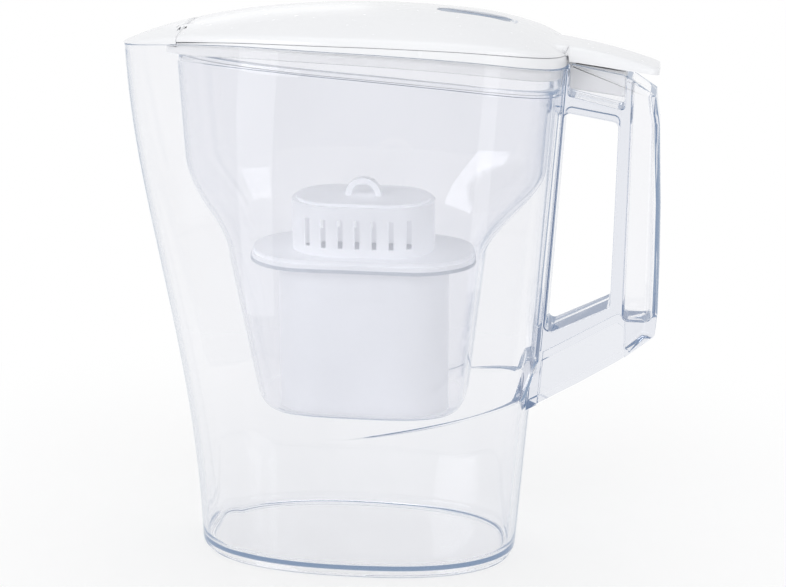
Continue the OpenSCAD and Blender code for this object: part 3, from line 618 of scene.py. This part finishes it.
# Rise above the edge: an upright band first, then the dome
def domeRise(height, s):
    band = np.minimum(lz["band"], 0.4 * height)
    return band * np.maximum(0, 1 - np.abs(s) ** 44) ** 0.5 + (height - band) * arch(s)


# Share of the crown's height that is left towards the rear end: 1 - u^n to a power
def tailOff(x):
    u = np.maximum(0, (x - rollOff) / (lidEnd - 1.2 - rollOff))
    return np.maximum(0, 1 - u ** lz["tailOffN"]) ** lz["tailOffPower"]


# Lower edge of the dome, a seam's gap over the ring
def domeEdge(x):
    return ringTop(x) + lz["gap"] + 0.4 * (1 - ease((x - seamX) / 20))


# Thumb tail: share of its length, half width, top and underside
def tailU(x):
    return (x - lidEnd) / (tailEnd - lidEnd)


def tailWidth(x):
    d = np.clip((x - tailEnd + tailRound - 0.1) / tailRound, 0, 1)
    w = handleSize["half"] + 2.6 - 2.8 * tailU(x) - 4 * (1 - np.sqrt(1 - d * d))
    return np.where(tailU(x) < -0.2, 0, w)


def tailTop(x):
    u = tailU(x)
    return rearZ + 7.2 - 6.0 * u - 4.2 * u * u


def tailLow(x):
    return rearZ + 0.19 - 6.18 * tailU(x)


def flipWidth(x, inset):
    shift = np.where(x > tailEnd - tailRound, inset, 0)
    return np.maximum(lidWidth(np.minimum(x, lipK), inset) * (x < lipK), tailWidth(x + shift) - inset)


def flipLow(x):
    return np.where(x < lidEnd, domeEdge(x), tailLow(x))


# Top of the flip lid: the domed cap, and behind it the thumb tail that comes out under it
def flipTop(x, y, inset, edgeX):
    e, w = flipLow(edgeX), np.maximum(0.1, lidWidth(np.minimum(x, lipK), inset))
    v = tailWidth(x) - inset
    height = (crown(x) - inset - e) * tailOff(np.minimum(lidEnd - 1.2, x))
    dome = e + domeRise(height, np.minimum(1, np.abs(y) / w))
    s = np.minimum(1, np.abs(y) / np.maximum(v, 0.1))
    tail = e + (tailTop(x) - inset - e) * np.maximum(0, 1 - s ** 10) ** 0.4
    tail = np.where((v <= 0) | (np.abs(y) > v), 0, tail)
    return np.where(x > lidEnd, np.maximum(e, tail), np.maximum(e, np.maximum(dome, tail)))


# Shares of the half width, closer together at the edges
def acrossShares(count):
    return np.sin(np.linspace(-math.pi / 2, math.pi / 2, count))


# Solid between an outer and an inner sheet of points that share their border count
def skinObject(name, outer, inner):
    outer, inner = np.array(outer), np.array(inner)
    n, m = outer.shape[:2]
    faces = [f[::-1] for f in gridFaces(n, m, closed=False)] + gridFaces(n, m, closed=False, base=n * m)
    border = list(range(m)) + [i * m + m - 1 for i in range(1, n)]
    border += [(n - 1) * m + j for j in range(m - 2, -1, -1)] + [i * m for i in range(n - 2, 0, -1)]
    for a, b in zip(border, border[1:] + border[:1]):
        faces.append([a, b, n * m + b, n * m + a])
    obj = makeObject(name, np.concatenate([outer.reshape(-1, 3), inner.reshape(-1, 3)]), faces)
    turnOutward(obj)
    return obj


# Rounding of the edge at the seam: depth below the surface at a distance from it
def seamDip(d):
    return 0.55 * np.maximum(0, 1 - d / 0.7) ** 2


# Places from x0 to x1, closer together at x1
def spread(x0, x1, n):
    return x0 + (x1 - x0) * np.sin(np.linspace(0, math.pi / 2, n + 1))


# Height of the outer skin over the hinge, flap side or flip side
def skinHeight(x, y):
    s = np.minimum(1, np.abs(y) / lidWidth(x, 0))
    e = rimHeight(x) + 0.3
    ahead = e + domeRise(np.maximum(0.3, crownFront(x) - e), s)
    return np.where(x < seamX, ahead, domeEdge(x) + domeRise(crown(x) - domeEdge(x), s))


# Rod round a hinge axis, thinner towards its ends so that it stays under the domed skin
def flushRod(name, x, z, radius, half):
    stations = []
    for y in np.linspace(-half, half, 15):
        stations.append((y, min(0.0, float(skinHeight(x, y)) - 0.12 - z - radius), anyX))
    return loftObject(name, circle(x, z, radius, 64), stations)


# Roll round a hinge axis and the lip that joins it to its lid; side -1 flap, 1 flip lid
def hingeRoll(x, z, side):
    near, far = sorted((x, x + side * 2.6))
    return [flushRod("roll", x, z, lz["rollR"], lz["rollW"]),
            boxObject("lip", near, far, lz["rollW"], z - 0.6, z + 0.5)]


# Side-view outline drawn along Y whose top is held a little under the domed skin
def flushBlock(name, points, y0, y1, count, under=0.12):
    q = np.array(points)
    rows = []
    for y in np.linspace(y0, y1, count):
        top = skinHeight(q[:, 0], y) - under
        rows.append(stack(q[:, 0], y, np.minimum(q[:, 1], top)))
    return cappedObject(name, rows)


# Points (x, z) on an arc
def arcPoints(cx, cz, r, a0, a1, n):
    return [(cx + r * math.cos(v), cz + r * math.sin(v)) for v in np.linspace(a0, a1, n)]


# What is left between the rolls once the room they swing in is cut out
def seamFiller(half):
    tops = np.linspace(flipX - 1, flapX + 1, 7)
    points = [(flapX + 1, flapZ - 0.4), (flipX - 1, flapZ - 0.4)] + [(x, flapZ + 4) for x in tops]
    strip = flushBlock("seam_filler", points, -half, half, 25, 0.55)
    swings = [rodObject("swing", x, z, r, 20) for x, z, r in ((flapX, flapZ, 1.76), (flipX, flipZ, 2.04))]
    combine(strip, swings, "DIFFERENCE")
    return strip


# Cutters for the ears: an arc round the hinge axis, straight down below it; side -1 flap, 1 flip lid
def notchCutters(x, z, side):
    r, low = lz["notchR"], rimZ - 14
    arc = arcPoints(x, z, r, math.pi / 2, math.pi if side < 0 else 0.0, 13)
    points = arc + [(x + side * r, low), (x - side * 9, low), (x - side * 9, z + r)]
    half = lz["earT"] / 2 + lz["earGap"]
    return [loftObject("notch", points, [(y - half, 0, anyX), (y + half, 0, anyX)])
            for y in (-earY - lz["earT"] / 2, earY + lz["earT"] / 2)]


# Ring: closed band through deck and skirt, then bar, ears and tongue; hollow and bores cut last
def lidBaseObject():
    t = evenAngles(lambda a: jugPoint(a, rimZ - 6, 1, 0), 240)
    x = rimX(t)

    def p(inset, z):
        qx, qy = egg(t, spoutA - inset, lipK - inset, lipB - inset, jugSize["spoutN"], jugSize["backN"])
        return stack(qx, qy, z)

    rim, top = rimHeight(x), ringTop(x)
    in0 = wall + lz["skirtGap"]
    in1 = in0 + lz["skirtT"]
    hemZ = np.maximum(rim - lz["skirtH"], shelfHeight(x) + fz["seat"] + fz["flangeH"] + 0.5)
    rows = [p(0.5, rim + 0.2), p(0.2, rim + 0.25), p(0.05, rim + 0.4), p(0, rim + 0.55)]
    rows += [p(0, mix(rim + 0.55, top - 0.5, f)) for f in (0.5, 1)]
    rows += [p(0.06, top - 0.25), p(0.25, top - 0.06), p(0.6, top), p(3, top - 0.1)]
    rows += [p(6, top - 0.2), p(lz["deckW"] - 0.4, top - 0.4), p(lz["deckW"], top - 0.8)]
    rows += [p(lz["deckW"], rim - 1.0), p(lz["deckW"] - 0.4, rim - 1.4)]
    rows += [p(in1 + 0.5, rim - 1.6), p(in1, rim - 2.1)]
    rows += [jugPoint(t, mix(rim - 2.1, hemZ + 0.3, 0.6), 1, in1), jugPoint(t, hemZ + 0.3, 1, in1)]
    rows += [jugPoint(t, hemZ, 1, in1 - 0.3), jugPoint(t, hemZ, 1, in0 + 0.3)]
    rows += [jugPoint(t, hemZ + 0.3, 1, in0)]
    rows += [jugPoint(t, mix(hemZ + 0.3, rim, 0.6), 1, in0), p(in0, rim + 0.2)]
    obj = bandObject("lid_ring", rows)
    turnOutward(obj)
    combine(obj, [boxObject("front", -2 * spoutA, seamX + lz["rollGap"], 90, rimZ - 24, rimZ + 16)],
            "DIFFERENCE")
    tools = []
    # Cross bar between the two ends of the ring
    xs = np.linspace(ringX0, barX1, 9)
    w = lidWidth(xs, wall + lz["skirtGap"] + 0.4)
    outline = np.concatenate([np.stack([xs, w], 1), np.stack([xs[::-1], -w[::-1]], 1)])
    low = float(shelfHeight(ringX0)) + fz["seat"] + fz["flangeH"] + 0.4
    bar = [stack(outline[:, 0], outline[:, 1], z) for z in (low, float(rimHeight(ringX0)) - 0.8)]
    tools.append(cappedObject("cross_bar", bar))
    earR, foot = lz["earR"], float(rimHeight(ringX0)) - 2.8
    ear = [(flapX - 2, foot), (flipX + 2, foot)]
    ear += arcPoints(flipX, flipZ, earR, 0, math.pi / 2, 9)
    ear += arcPoints(flapX, flapZ, earR, math.pi / 2, math.pi, 9)
    for s in (-1, 1):
        y = s * (earY + lz["earT"] / 2)
        d = lz["earT"] / 2 + 0.25
        tools.append(flushBlock("ear", ear, y - d, y + d, 5))
    tools.append(seamFiller(earY + lz["earT"]))
    tongue = rounded([
        (up(armZ - 13) + 1.8, armZ - 11.8, 1), (gripWallX - 0.9, armZ - 15.2, 1),
        (gripWallX - 0.6, armZ - 3, 0.5), (lipK + 4.1, armZ + 0.3, 0),
        (lipK + 3.1, rimRear + 3.0, 0.5), (lipK - 4.9, rimRear + 3.0, 0),
        (lipK - 4.9, rimRear + 0.54, 0), (lipK + 0.9, rimRear + 0.54, 0.5),
    ])
    inner = handleSize["half"] - handleSize["wall"]
    tools.append(loftObject("tongue", tongue, roundStations(inner - 0.4, 0.7)))
    combine(obj, tools, "UNION")
    hollow = rounded([
        (lipK + 3.1, armZ - 44, 0), (lipK + 3.1, armZ - 4.4, 2),
        (gripWallX - 3, armZ - 6.4, 2), (gripWallX - 3, armZ - 44, 0),
    ])
    cutters = [loftObject("hollow", hollow, roundStations(inner - 2.2, 0.5))]
    cutters += [rodObject("bore", x, z, lz["pinR"], 20) for x, z in ((flipX, flipZ), (flapX, flapZ))]
    combine(obj, cutters, "DIFFERENCE")
    return obj


lidBase = lidBaseObject()
finishShape(lidBase)


# Places a mesh in the frame of the sloping lid top
def inIndicatorFrame(obj):
    turn = Matrix.Rotation(indTilt, 4, "Y")
    obj.data.transform(Matrix.Translation((indX, 0, indicatorZ)) @ turn)
    return obj


# Outline with straight sides and round ends, half length a and half width b, drawn in by the inset
def stadiumPlan(a, b, inset):
    t = np.linspace(-math.pi / 2, math.pi / 2, 33)
    right = np.stack([a - b + b * np.cos(t), b * np.sin(t)], 1)
    plan = np.concatenate([right, -right])
    centre, k = np.sign(plan[:, 0]) * (a - b), (b - inset) / b
    return centre + (plan[:, 0] - centre) * k, plan[:, 1] * k


def stadiumObject(name, a, b, rows):
    rings = []
    for z, inset in rows:
        u, v = stadiumPlan(a, b, inset)
        rings.append(stack(u, v, z))
    return tubeObject(name, rings, shares=())


# Moves down whatever would come nearer to the lid's skin than the depth under it
def heldUnderSkin(obj, under):
    mesh = obj.data
    flat = np.empty(len(mesh.vertices) * 3, np.float32)
    mesh.vertices.foreach_get("co", flat)
    points = flat.reshape(-1, 3).astype(float)
    x, y, z = points.T
    points[:, 2] = np.minimum(z, flipTop(x, y, 0.0, x) - under)
    mesh.vertices.foreach_set("co", points.astype(np.float32).ravel())


# Two sheets of points from hinge to tail end, joined at the edge; roll and housing on, slot and bore out
def flipLidObject():
    across = acrossShares(113)
    x0 = seamX + lz["rollGap"] / 2
    tail = np.concatenate([[lidEnd - 0.1, lidEnd + 0.3], mix(lidEnd, tailEnd, np.linspace(0.05, 0.97, 36))])
    tail = np.concatenate([tail, tailEnd - np.array([0.8, 0.4, 0.15])])
    first = x0 + np.array([0, 0.08, 0.2, 0.4, 0.7])
    xs = np.concatenate([first, spread(x0 + 1.1, lidEnd - 1.6, 84), tail, [tailEnd]])
    xi = np.concatenate([first, spread(x0 + 1.1, lidEnd - 1.6 - lz["shell"], 84),
                         np.minimum(tail, tailEnd - lz["shell"]),
                         [tailEnd - lz["shell"]]])
    n = len(xs)
    late = np.maximum(0, np.arange(n) - n + 12)
    xi = xi - 0.01 * late
    outer, inner = [], []
    for i in range(n):
        y = across * flipWidth(xs[i], 0)
        z = np.maximum(flipLow(xs[i]), flipTop(xs[i], y, 0, xs[i]) - seamDip(xs[i] - x0))
        outer.append(stack(xs[i], y, np.where(i == n - 1, flipLow(xs[i]), z)))
        yi = across * flipWidth(xi[i], lz["shell"])
        zi = flipTop(xi[i], yi, lz["shell"], xs[i])
        inner.append(stack(xi[i], yi, np.where(i == n - 1, flipLow(xs[i]), zi)))
    obj = skinObject("flip_lid_white", outer, inner)
    cuts = [boxObject("notch", seamX - 10, flipX, notchY, rimZ - 14, rimZ + 16)]
    combine(obj, cuts + notchCutters(flipX, flipZ, 1), "DIFFERENCE")
    a, b = windowSize["a"], windowSize["rimB"]
    housing = stadiumObject("housing", a + 2.8, b + 2.8, [(trayZ, 0), (lensFlangeZ + 0.1, 0)])
    inside = stadiumObject("inside", a + 1.8, b + 1.8, [(trayZ - 3, 0), (lensFlangeZ - 0.3, 0)])
    for block, under in ((housing, 0.4), (inside, 0.8)):
        heldUnderSkin(inIndicatorFrame(block), under)
    combine(housing, [inside], "DIFFERENCE")
    combine(obj, hingeRoll(flipX, flipZ, 1) + [housing], "UNION")
    g, b = windowSize["gap"], windowSize["b"]
    rows = [(lensZ, 0.4), (-0.55, 0.4), (-0.3, 0.34), (-0.1, 0.18), (0, 0), (4, 0)]
    slot = stadiumObject("slot", a + g + 0.4, b + g + 0.4, rows)
    bore = rodObject("bore", flipX, flipZ, lz["pinR"] + lz["pinGap"], 20)
    combine(obj, [inIndicatorFrame(slot), bore], "DIFFERENCE")
    return obj


# Lens that fills the slot: follows the skin a little below it, with a flange under the lid
def windowObject():
    a, b, sink = (windowSize[k] for k in ("a", "b", "sink"))
    rings = []
    for inset, z in ((-1.2, -4.15), (-1.2, -3.75), (-1.05, -3.6), (0.0, -3.6)):
        u, v = stadiumPlan(a, b, inset)
        x = indX + u * math.cos(indTilt) + z * math.sin(indTilt)
        flat = indicatorZ - u * math.sin(indTilt) + z * math.cos(indTilt)
        rings.append(stack(x, v, np.minimum(flat, flipTop(x, v, 0.0, x) - 1.0 + 0.5 * (z + 3.6))))
    for inset, down in ((0.0, sink + 0.5), (0.0, sink + 0.2), (0.08, sink + 0.05), (0.3, sink), (1.4, sink)):
        u, v = stadiumPlan(a, b, inset)
        x = indX + u * math.cos(indTilt)
        rings.append(stack(x, v, flipTop(x, v, 0.0, x) - down))
    return tubeObject("window_lens", rings)


flipLid = flipLidObject()
finishShape(flipLid)
windowLens = windowObject()
finishShape(windowLens)


# The same two sheets as the flip lid's, from the spout's tip back to the hinge
def spoutFlapObject():
    across = acrossShares(81)
    end = 0.9975 * spoutA
    start = -seamX + lz["rollGap"] / 2
    first = -start - np.array([0.7, 0.4, 0.2, 0.08, 0])
    xs = np.concatenate([-spread(start + 1.1, end, 44)[::-1], first])
    xi = np.concatenate([-spread(start + 1.1, end - lz["shell"], 44)[::-1], first])

    def row(x, inset):
        e = rimHeight(x) + 0.3
        h = np.maximum(0.3, crownFront(x) - inset - e)
        z = np.maximum(e, e + domeRise(h, across) - (seamDip(-start - x) if inset == 0 else 0))
        return stack(x, across * lidWidth(x, inset), z)

    obj = skinObject("spout_flap_white", [row(x, 0) for x in xs], [row(x, lz["shell"]) for x in xi])
    cuts = [boxObject("notch", flapX, seamX + 10, notchY, rimZ - 14, rimZ + 16)]
    combine(obj, cuts + notchCutters(flapX, flapZ, -1), "DIFFERENCE")
    combine(obj, hingeRoll(flapX, flapZ, -1), "UNION")
    combine(obj, [rodObject("bore", flapX, flapZ, lz["pinR"] + lz["pinGap"], 20)], "DIFFERENCE")
    return obj


spoutFlap = spoutFlapObject()
finishShape(spoutFlap)


# Gives each named input its value, or a link where the value is another node's socket
def setInputs(tree, node, values):
    for key, value in values.items():
        if isinstance(value, bpy.types.NodeSocket):
            tree.links.new(value, node.inputs[key])
        else:
            node.inputs[key].default_value = value


def addNode(tree, kind, values=(), **settings):
    node = tree.nodes.new("ShaderNode" + kind)
    for key, value in settings.items():
        setattr(node, key, value)
    setInputs(tree, node, dict(values))
    return node


# Material with one Principled shader on its output
def newMaterial(name, values):
    material = bpy.data.materials.new(name)
    material.use_nodes = True
    tree = material.node_tree
    tree.nodes.clear()
    shader = addNode(tree, "BsdfPrincipled", values)
    out = addNode(tree, "OutputMaterial", {"Surface": shader.outputs[0]})
    return material, tree, shader, out


def objectSpace(tree):
    return addNode(tree, "TexCoord").outputs["Object"]


def noiseNode(tree, scale, detail, roughness, squash=(1, 1, 1)):
    place = addNode(tree, "Mapping", {"Vector": objectSpace(tree), "Scale": squash}).outputs["Vector"]
    return addNode(tree, "TexNoise", {
        "Vector": place, "Scale": scale, "Detail": detail, "Roughness": roughness}).outputs["Fac"]


# Roughness that goes from low to high with the noise
def roughen(tree, shader, source, low, high):
    span = addNode(tree, "MapRange", {
        "Value": source, "From Min": 0.3, "From Max": 0.7, "To Min": low, "To Max": high})
    setInputs(tree, shader, {"Roughness": span.outputs["Result"]})


def bump(tree, shader, source, strength, distance):
    node = addNode(tree, "Bump", {"Strength": strength, "Distance": distance, "Height": source})
    setInputs(tree, shader, {"Normal": node.outputs["Normal"]})


def mottleColor(tree, shader, source, dark, light):
    node = addNode(tree, "ValToRGB", {"Fac": source})
    for stop, position, color in zip(node.color_ramp.elements, (0.35, 0.65), (dark, light)):
        stop.position, stop.color = position, (*color, 1)
    setInputs(tree, shader, {"Base Color": node.outputs["Color"]})


def mathNode(tree, operation, *values):
    return addNode(tree, "Math", enumerate(values), operation=operation).outputs[0]


# The first shader where the share is 0, the second where it is 1
def blend(tree, share, first, second):
    return addNode(tree, "MixShader", {0: share, 1: first.outputs[0], 2: second.outputs[0]})


# 1 for rays from the camera and for what is seen in gloss or through clear plastic
def lookingRays(tree):
    path = addNode(tree, "LightPath")
    seen = mathNode(tree, "MAXIMUM", path.outputs["Is Camera Ray"], path.outputs["Is Glossy Ray"])
    return mathNode(tree, "MAXIMUM", seen, path.outputs["Is Transmission Ray"])


# Clear moulded plastic: lamps reach through it, and long paths inside it end in a painted blue-grey shade
def clearMaterial(name, base, tint, density, wave):
    material, tree, shader, out = newMaterial(name, {"Transmission Weight": 1.0, "IOR": 1.5})
    flow = noiseNode(tree, wave, 2.0, 0.4, (1, 1, 0.45))
    roughen(tree, shader, noiseNode(tree, 900, 2.0, 0.5), 0.008, 0.03)
    mottleColor(tree, shader, flow, [c * 0.985 for c in base], base)
    bump(tree, shader, flow, 0.12, 0.0006)
    # Painted shade: paths that have reflected more than twice, or bounced more than ten times, end in a
    # blue-grey emission instead of what they would show, which marks the walls' edges and thick parts blue
    # grey
    path = addNode(tree, "LightPath")
    thrown = mathNode(tree, "GREATER_THAN", path.outputs["Glossy Depth"], 2.5)
    spent = mathNode(tree, "GREATER_THAN", path.outputs["Ray Depth"], 10.5)
    paintedEdgeShade = addNode(tree, "Emission", {"Color": (0.27, 0.36, 0.5, 1)})
    inside = blend(tree, mathNode(tree, "MAXIMUM", thrown, spent), shader, paintedEdgeShade)
    clear = addNode(tree, "BsdfTransparent", {"Color": (1, 1, 1, 1)})
    surface = blend(tree, path.outputs["Is Shadow Ray"], inside, clear)
    volume = addNode(tree, "VolumeAbsorption", {"Color": (*tint, 1), "Density": density})
    setInputs(tree, out, {"Surface": surface.outputs[0], "Volume": volume.outputs[0]})
    return material


# Painted light: glow is an emission that brightens the plastic and flattens its shading, standing in for the
# light that soaks through thin moulded walls
def whitePlastic(name, light, dark, roughness, rough=0.03, scale=260, glow=0.0):
    material, tree, shader, out = newMaterial(name, {
        "IOR": 1.5, "Emission Color": (0.96, 0.97, 1, 1), "Emission Strength": glow})
    grain = noiseNode(tree, scale, 4.0, 0.55)
    mottleColor(tree, shader, noiseNode(tree, 14, 2.0, 0.5), dark, light)
    roughen(tree, shader, grain, roughness * 0.8, roughness * 1.25)
    bump(tree, shader, grain, rough, 0.0002)
    return material


# Mottle, roughness and grain from one noise
def grainedMaterial(name, light, dark, low, high, noise, grain, values):
    material, tree, shader, out = newMaterial(name, values)
    source = noiseNode(tree, *noise)
    mottleColor(tree, shader, source, dark, light)
    roughen(tree, shader, source, low, high)
    bump(tree, shader, source, *grain)
    return material


# Matt, with a fine grain
def rubberMaterial(name, light, dark, roughness):
    return grainedMaterial(
        name, light, dark, roughness * 0.85, roughness * 1.15, (700, 4.0, 0.6), (0.25, 0.0002), {})


# Coloured smooth plastic or glass, with a clear coat
def tintedMaterial(name, light, dark, roughness, coat):
    return grainedMaterial(
        name, light, dark, roughness * 0.8, roughness * 1.2, (120, 3.0, 0.5), (0.06, 0.0001),
        {"Coat Weight": coat, "Coat Roughness": 0.05})


# Fine turned
def steelMaterial(name):
    return grainedMaterial(
        name, (0.76, 0.77, 0.79), (0.62, 0.63, 0.65), 0.2, 0.38, (500, 3.0, 0.6, (1, 6, 1)),
        (0.15, 0.0001), {"Metallic": 1.0})


# Fine weave: two sets of bands at right angles
def meshMaterial(name, light, dark):
    material, tree, shader, out = newMaterial(name, {"Roughness": 0.7})
    bands = []
    for axis in ("X", "Y"):
        wave = addNode(tree, "TexWave", {"Vector": objectSpace(tree), "Scale": 420}, bands_direction=axis)
        bands.append(wave.outputs["Fac"])
    weave = mathNode(tree, "MAXIMUM", *bands)
    mottleColor(tree, shader, weave, dark, light)
    bump(tree, shader, weave, 0.6, 0.0002)
    return material


# Grains of carbon and resin
def granuleMaterial(name):
    material, tree, shader, out = newMaterial(name, {"Roughness": 0.65})
    cells = addNode(tree, "TexVoronoi", {"Vector": objectSpace(tree), "Scale": 900})
    mottleColor(tree, shader, cells.outputs["Color"], (0.05, 0.05, 0.055), (0.55, 0.5, 0.42))
    bump(tree, shader, cells.outputs["Distance"], 0.8, 0.0005)
    return material


clearJug = clearMaterial("clear_jug", (0.985, 0.985, 0.992), (0.55, 0.6, 0.72), 17.0, 26)
clearFunnel = clearMaterial("clear_funnel", (0.975, 0.975, 0.988), (0.5, 0.53, 0.66), 9.0, 30)
whiteLid = whitePlastic("white_lid", (0.845, 0.848, 0.862), (0.825, 0.828, 0.845), 0.22)
# Painted light: the cartridge white is set low and lifted by a glow of 0.3, so its shading stays flat
cartridgeWhite = whitePlastic(
    "cartridge_white", (0.7, 0.703, 0.72), (0.685, 0.69, 0.708), 0.4, rough=0.15, scale=420, glow=0.3)
sealRubber = rubberMaterial("seal_rubber", (0.72, 0.75, 0.8), (0.64, 0.67, 0.73), 0.6)
screenMesh = meshMaterial("screen", (0.78, 0.79, 0.82), (0.5, 0.51, 0.55))
granules = granuleMaterial("granules")
pinSteel = steelMaterial("pin_steel")
displayGlass = tintedMaterial("display", (0.5, 0.57, 0.6), (0.44, 0.51, 0.55), 0.18, 0.6)
boardGreen = tintedMaterial("board", (0.06, 0.27, 0.13), (0.04, 0.2, 0.1), 0.4, 0.2)
buttonBlue = rubberMaterial("button", (0.3, 0.45, 0.68), (0.25, 0.39, 0.62), 0.5)
windowTint = tintedMaterial("window", (0.2, 0.27, 0.39), (0.13, 0.19, 0.3), 0.2, 0.2)

nodeMaterials = {
    "cartridge_shell": cartridgeWhite, "cartridge_cap": cartridgeWhite, "cartridge_seal": sealRubber,
    "cartridge_inlet_screen": screenMesh, "cartridge_outlet_screen": screenMesh,
    "filter_granules": granules, "flip_hinge_pin": pinSteel, "spout_hinge_pin": pinSteel,
    "indicator_gasket": sealRubber, "indicator_display": displayGlass,
    "indicator_board": boardGreen, "indicator_cell": pinSteel, "indicator_button": buttonBlue,
    "indicator_tray": cartridgeWhite, "indicator_cover": cartridgeWhite,
}
for nodeName, material in nodeMaterials.items():
    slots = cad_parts[nodeName].data.materials
    if not slots:
        slots.append(material)
    for i in range(len(slots)):
        slots[i] = material


def placePiece(obj, node, body, material):
    obj.data.materials.clear()
    obj.data.materials.append(material)
    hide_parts(node)
    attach(obj, body)


placePiece(jug, "jug", "jug_body", clearJug)
placePiece(funnel, "funnel", "funnel_body", clearFunnel)
placePiece(lidBase, "lid_base", "lid_body", whiteLid)
placePiece(flipLid, "flip_lid", "flip_body", whiteLid)
placePiece(spoutFlap, "spout_flap", "flap_body", whiteLid)
placePiece(windowLens, "indicator_window", "flip_body", windowTint)
print("materials set")


# White paper that keeps the shadow near the pitcher and fades to plain white further out
floorLook = {"fadeFrom": 0.08, "fadeTo": 0.36, "least": 0.6}


def stageMaterial():
    material, tree, shader, out = newMaterial("floor_paper", {"Roughness": 0.9, "Specular IOR Level": 0.1})
    mottleColor(tree, shader, noiseNode(tree, 60, 3.0, 0.5), (0.93, 0.93, 0.93), (0.94, 0.94, 0.94))
    reach = addNode(tree, "VectorMath", {0: objectSpace(tree)}, operation="LENGTH")
    fade = addNode(tree, "MapRange", {
        "Value": reach.outputs["Value"], "From Min": floorLook["fadeFrom"],
        "From Max": floorLook["fadeTo"], "To Min": floorLook["least"],
    }, interpolation_type="SMOOTHSTEP")
    share = mathNode(tree, "MULTIPLY", fade.outputs["Result"], lookingRays(tree))
    glow = addNode(tree, "Emission", {"Strength": 1.0})
    setInputs(tree, out, {"Surface": blend(tree, share, shader, glow).outputs[0]})
    return material


floor = makeObject("floor", [(-8, -6, 0), (8, -6, 0), (8, 10, 0), (-8, 10, 0)], [[0, 1, 2, 3]])
floor.data.materials.append(stageMaterial())


# White wherever the camera, a reflection or a refraction looks, plain soft grey light elsewhere
world = bpy.data.worlds.new("studio")
bpy.context.scene.world = world
world.use_nodes = True
worldTree = world.node_tree
worldTree.nodes.clear()
dim = addNode(worldTree, "Background", {"Color": (0.98, 0.99, 1, 1), "Strength": 0.72})
white = addNode(worldTree, "Background", {"Color": (1, 1, 1, 1), "Strength": 1.0})
backdrop = blend(worldTree, lookingRays(worldTree), dim, white)
addNode(worldTree, "OutputWorld", {"Surface": backdrop.outputs[0]})


def areaLight(name, position, target, width, height, power):
    data = bpy.data.lights.new(name, "AREA")
    data.shape = "RECTANGLE"
    data.size, data.size_y, data.energy = width, height, power
    obj = bpy.data.objects.new(name, data)
    bpy.context.scene.collection.objects.link(obj)
    obj.location = position
    obj.rotation_euler = (Vector(target) - Vector(position)).to_track_quat("-Z", "Y").to_euler()
    obj.visible_camera = False


# Place, aim, width, height, watts
lamps = {
    "key": ((-1.1, -1.3, 0.9), (0, 0, 0.12), 0.9, 1.2, 9),
    "fill": ((1.3, -1.2, 0.8), (0, 0, 0.12), 0.9, 1.2, 6),
    "top": ((0.0, 0.3, 1.9), (0, 0, 0.1), 1.2, 1.2, 4),
}
for lampName, lamp in lamps.items():
    areaLight(lampName, *lamp)


# Upright panels, turned to the pitcher, that only show as reflections in gloss and clear plastic
def reflectionPanel(name, x, y, width, low, high, strength):
    d = np.array([-y, x]) / math.hypot(x, y) * width / 2
    corners = [(x - d[0], y - d[1], low), (x + d[0], y + d[1], low),
               (x + d[0], y + d[1], high), (x - d[0], y - d[1], high)]
    panel = makeObject(name, corners, [[0, 1, 2, 3]])
    panel.data.materials.append(newMaterial(name, {
        "Base Color": (0, 0, 0, 1), "Emission Color": (1, 1, 1, 1), "Emission Strength": strength,
        "Specular IOR Level": 0})[0])
    for flag in ("camera", "diffuse", "transmission", "volume_scatter", "shadow"):
        setattr(panel, "visible_" + flag, False)


# x, y, width, lower and upper edge, strength
panels = {
    "strip_left": (-0.27, -0.33, 0.09, 0.005, 0.42, 2.1),
    "strip_right": (0.24, -0.36, 0.07, 0.005, 0.42, 2.1),
    "softbox_behind": (-0.39, 1.4, 0.34, 0.47, 0.72, 1.5),
}
for panelName, panel in panels.items():
    reflectionPanel(panelName, *panel)
print("stage set")

cameraLook = {
    "sensor": 36, "lens": 98.85, "place": (0.15643, -0.98769, 0.41737), "aim": (0.01656, 0, 0.12843),
}
cameraData = bpy.data.cameras.new("camera")
camera = bpy.data.objects.new("camera", cameraData)
bpy.context.scene.collection.objects.link(camera)
bpy.context.scene.camera = camera
cameraData.sensor_width, cameraData.lens = cameraLook["sensor"], cameraLook["lens"]
camera.location = cameraLook["place"]
aim = Vector(cameraLook["aim"]) - Vector(camera.location)
camera.rotation_euler = aim.to_track_quat("-Z", "Y").to_euler()
cameraData.clip_start, cameraData.clip_end = 0.05, 50

bpy.context.scene.view_settings.view_transform = "Standard"
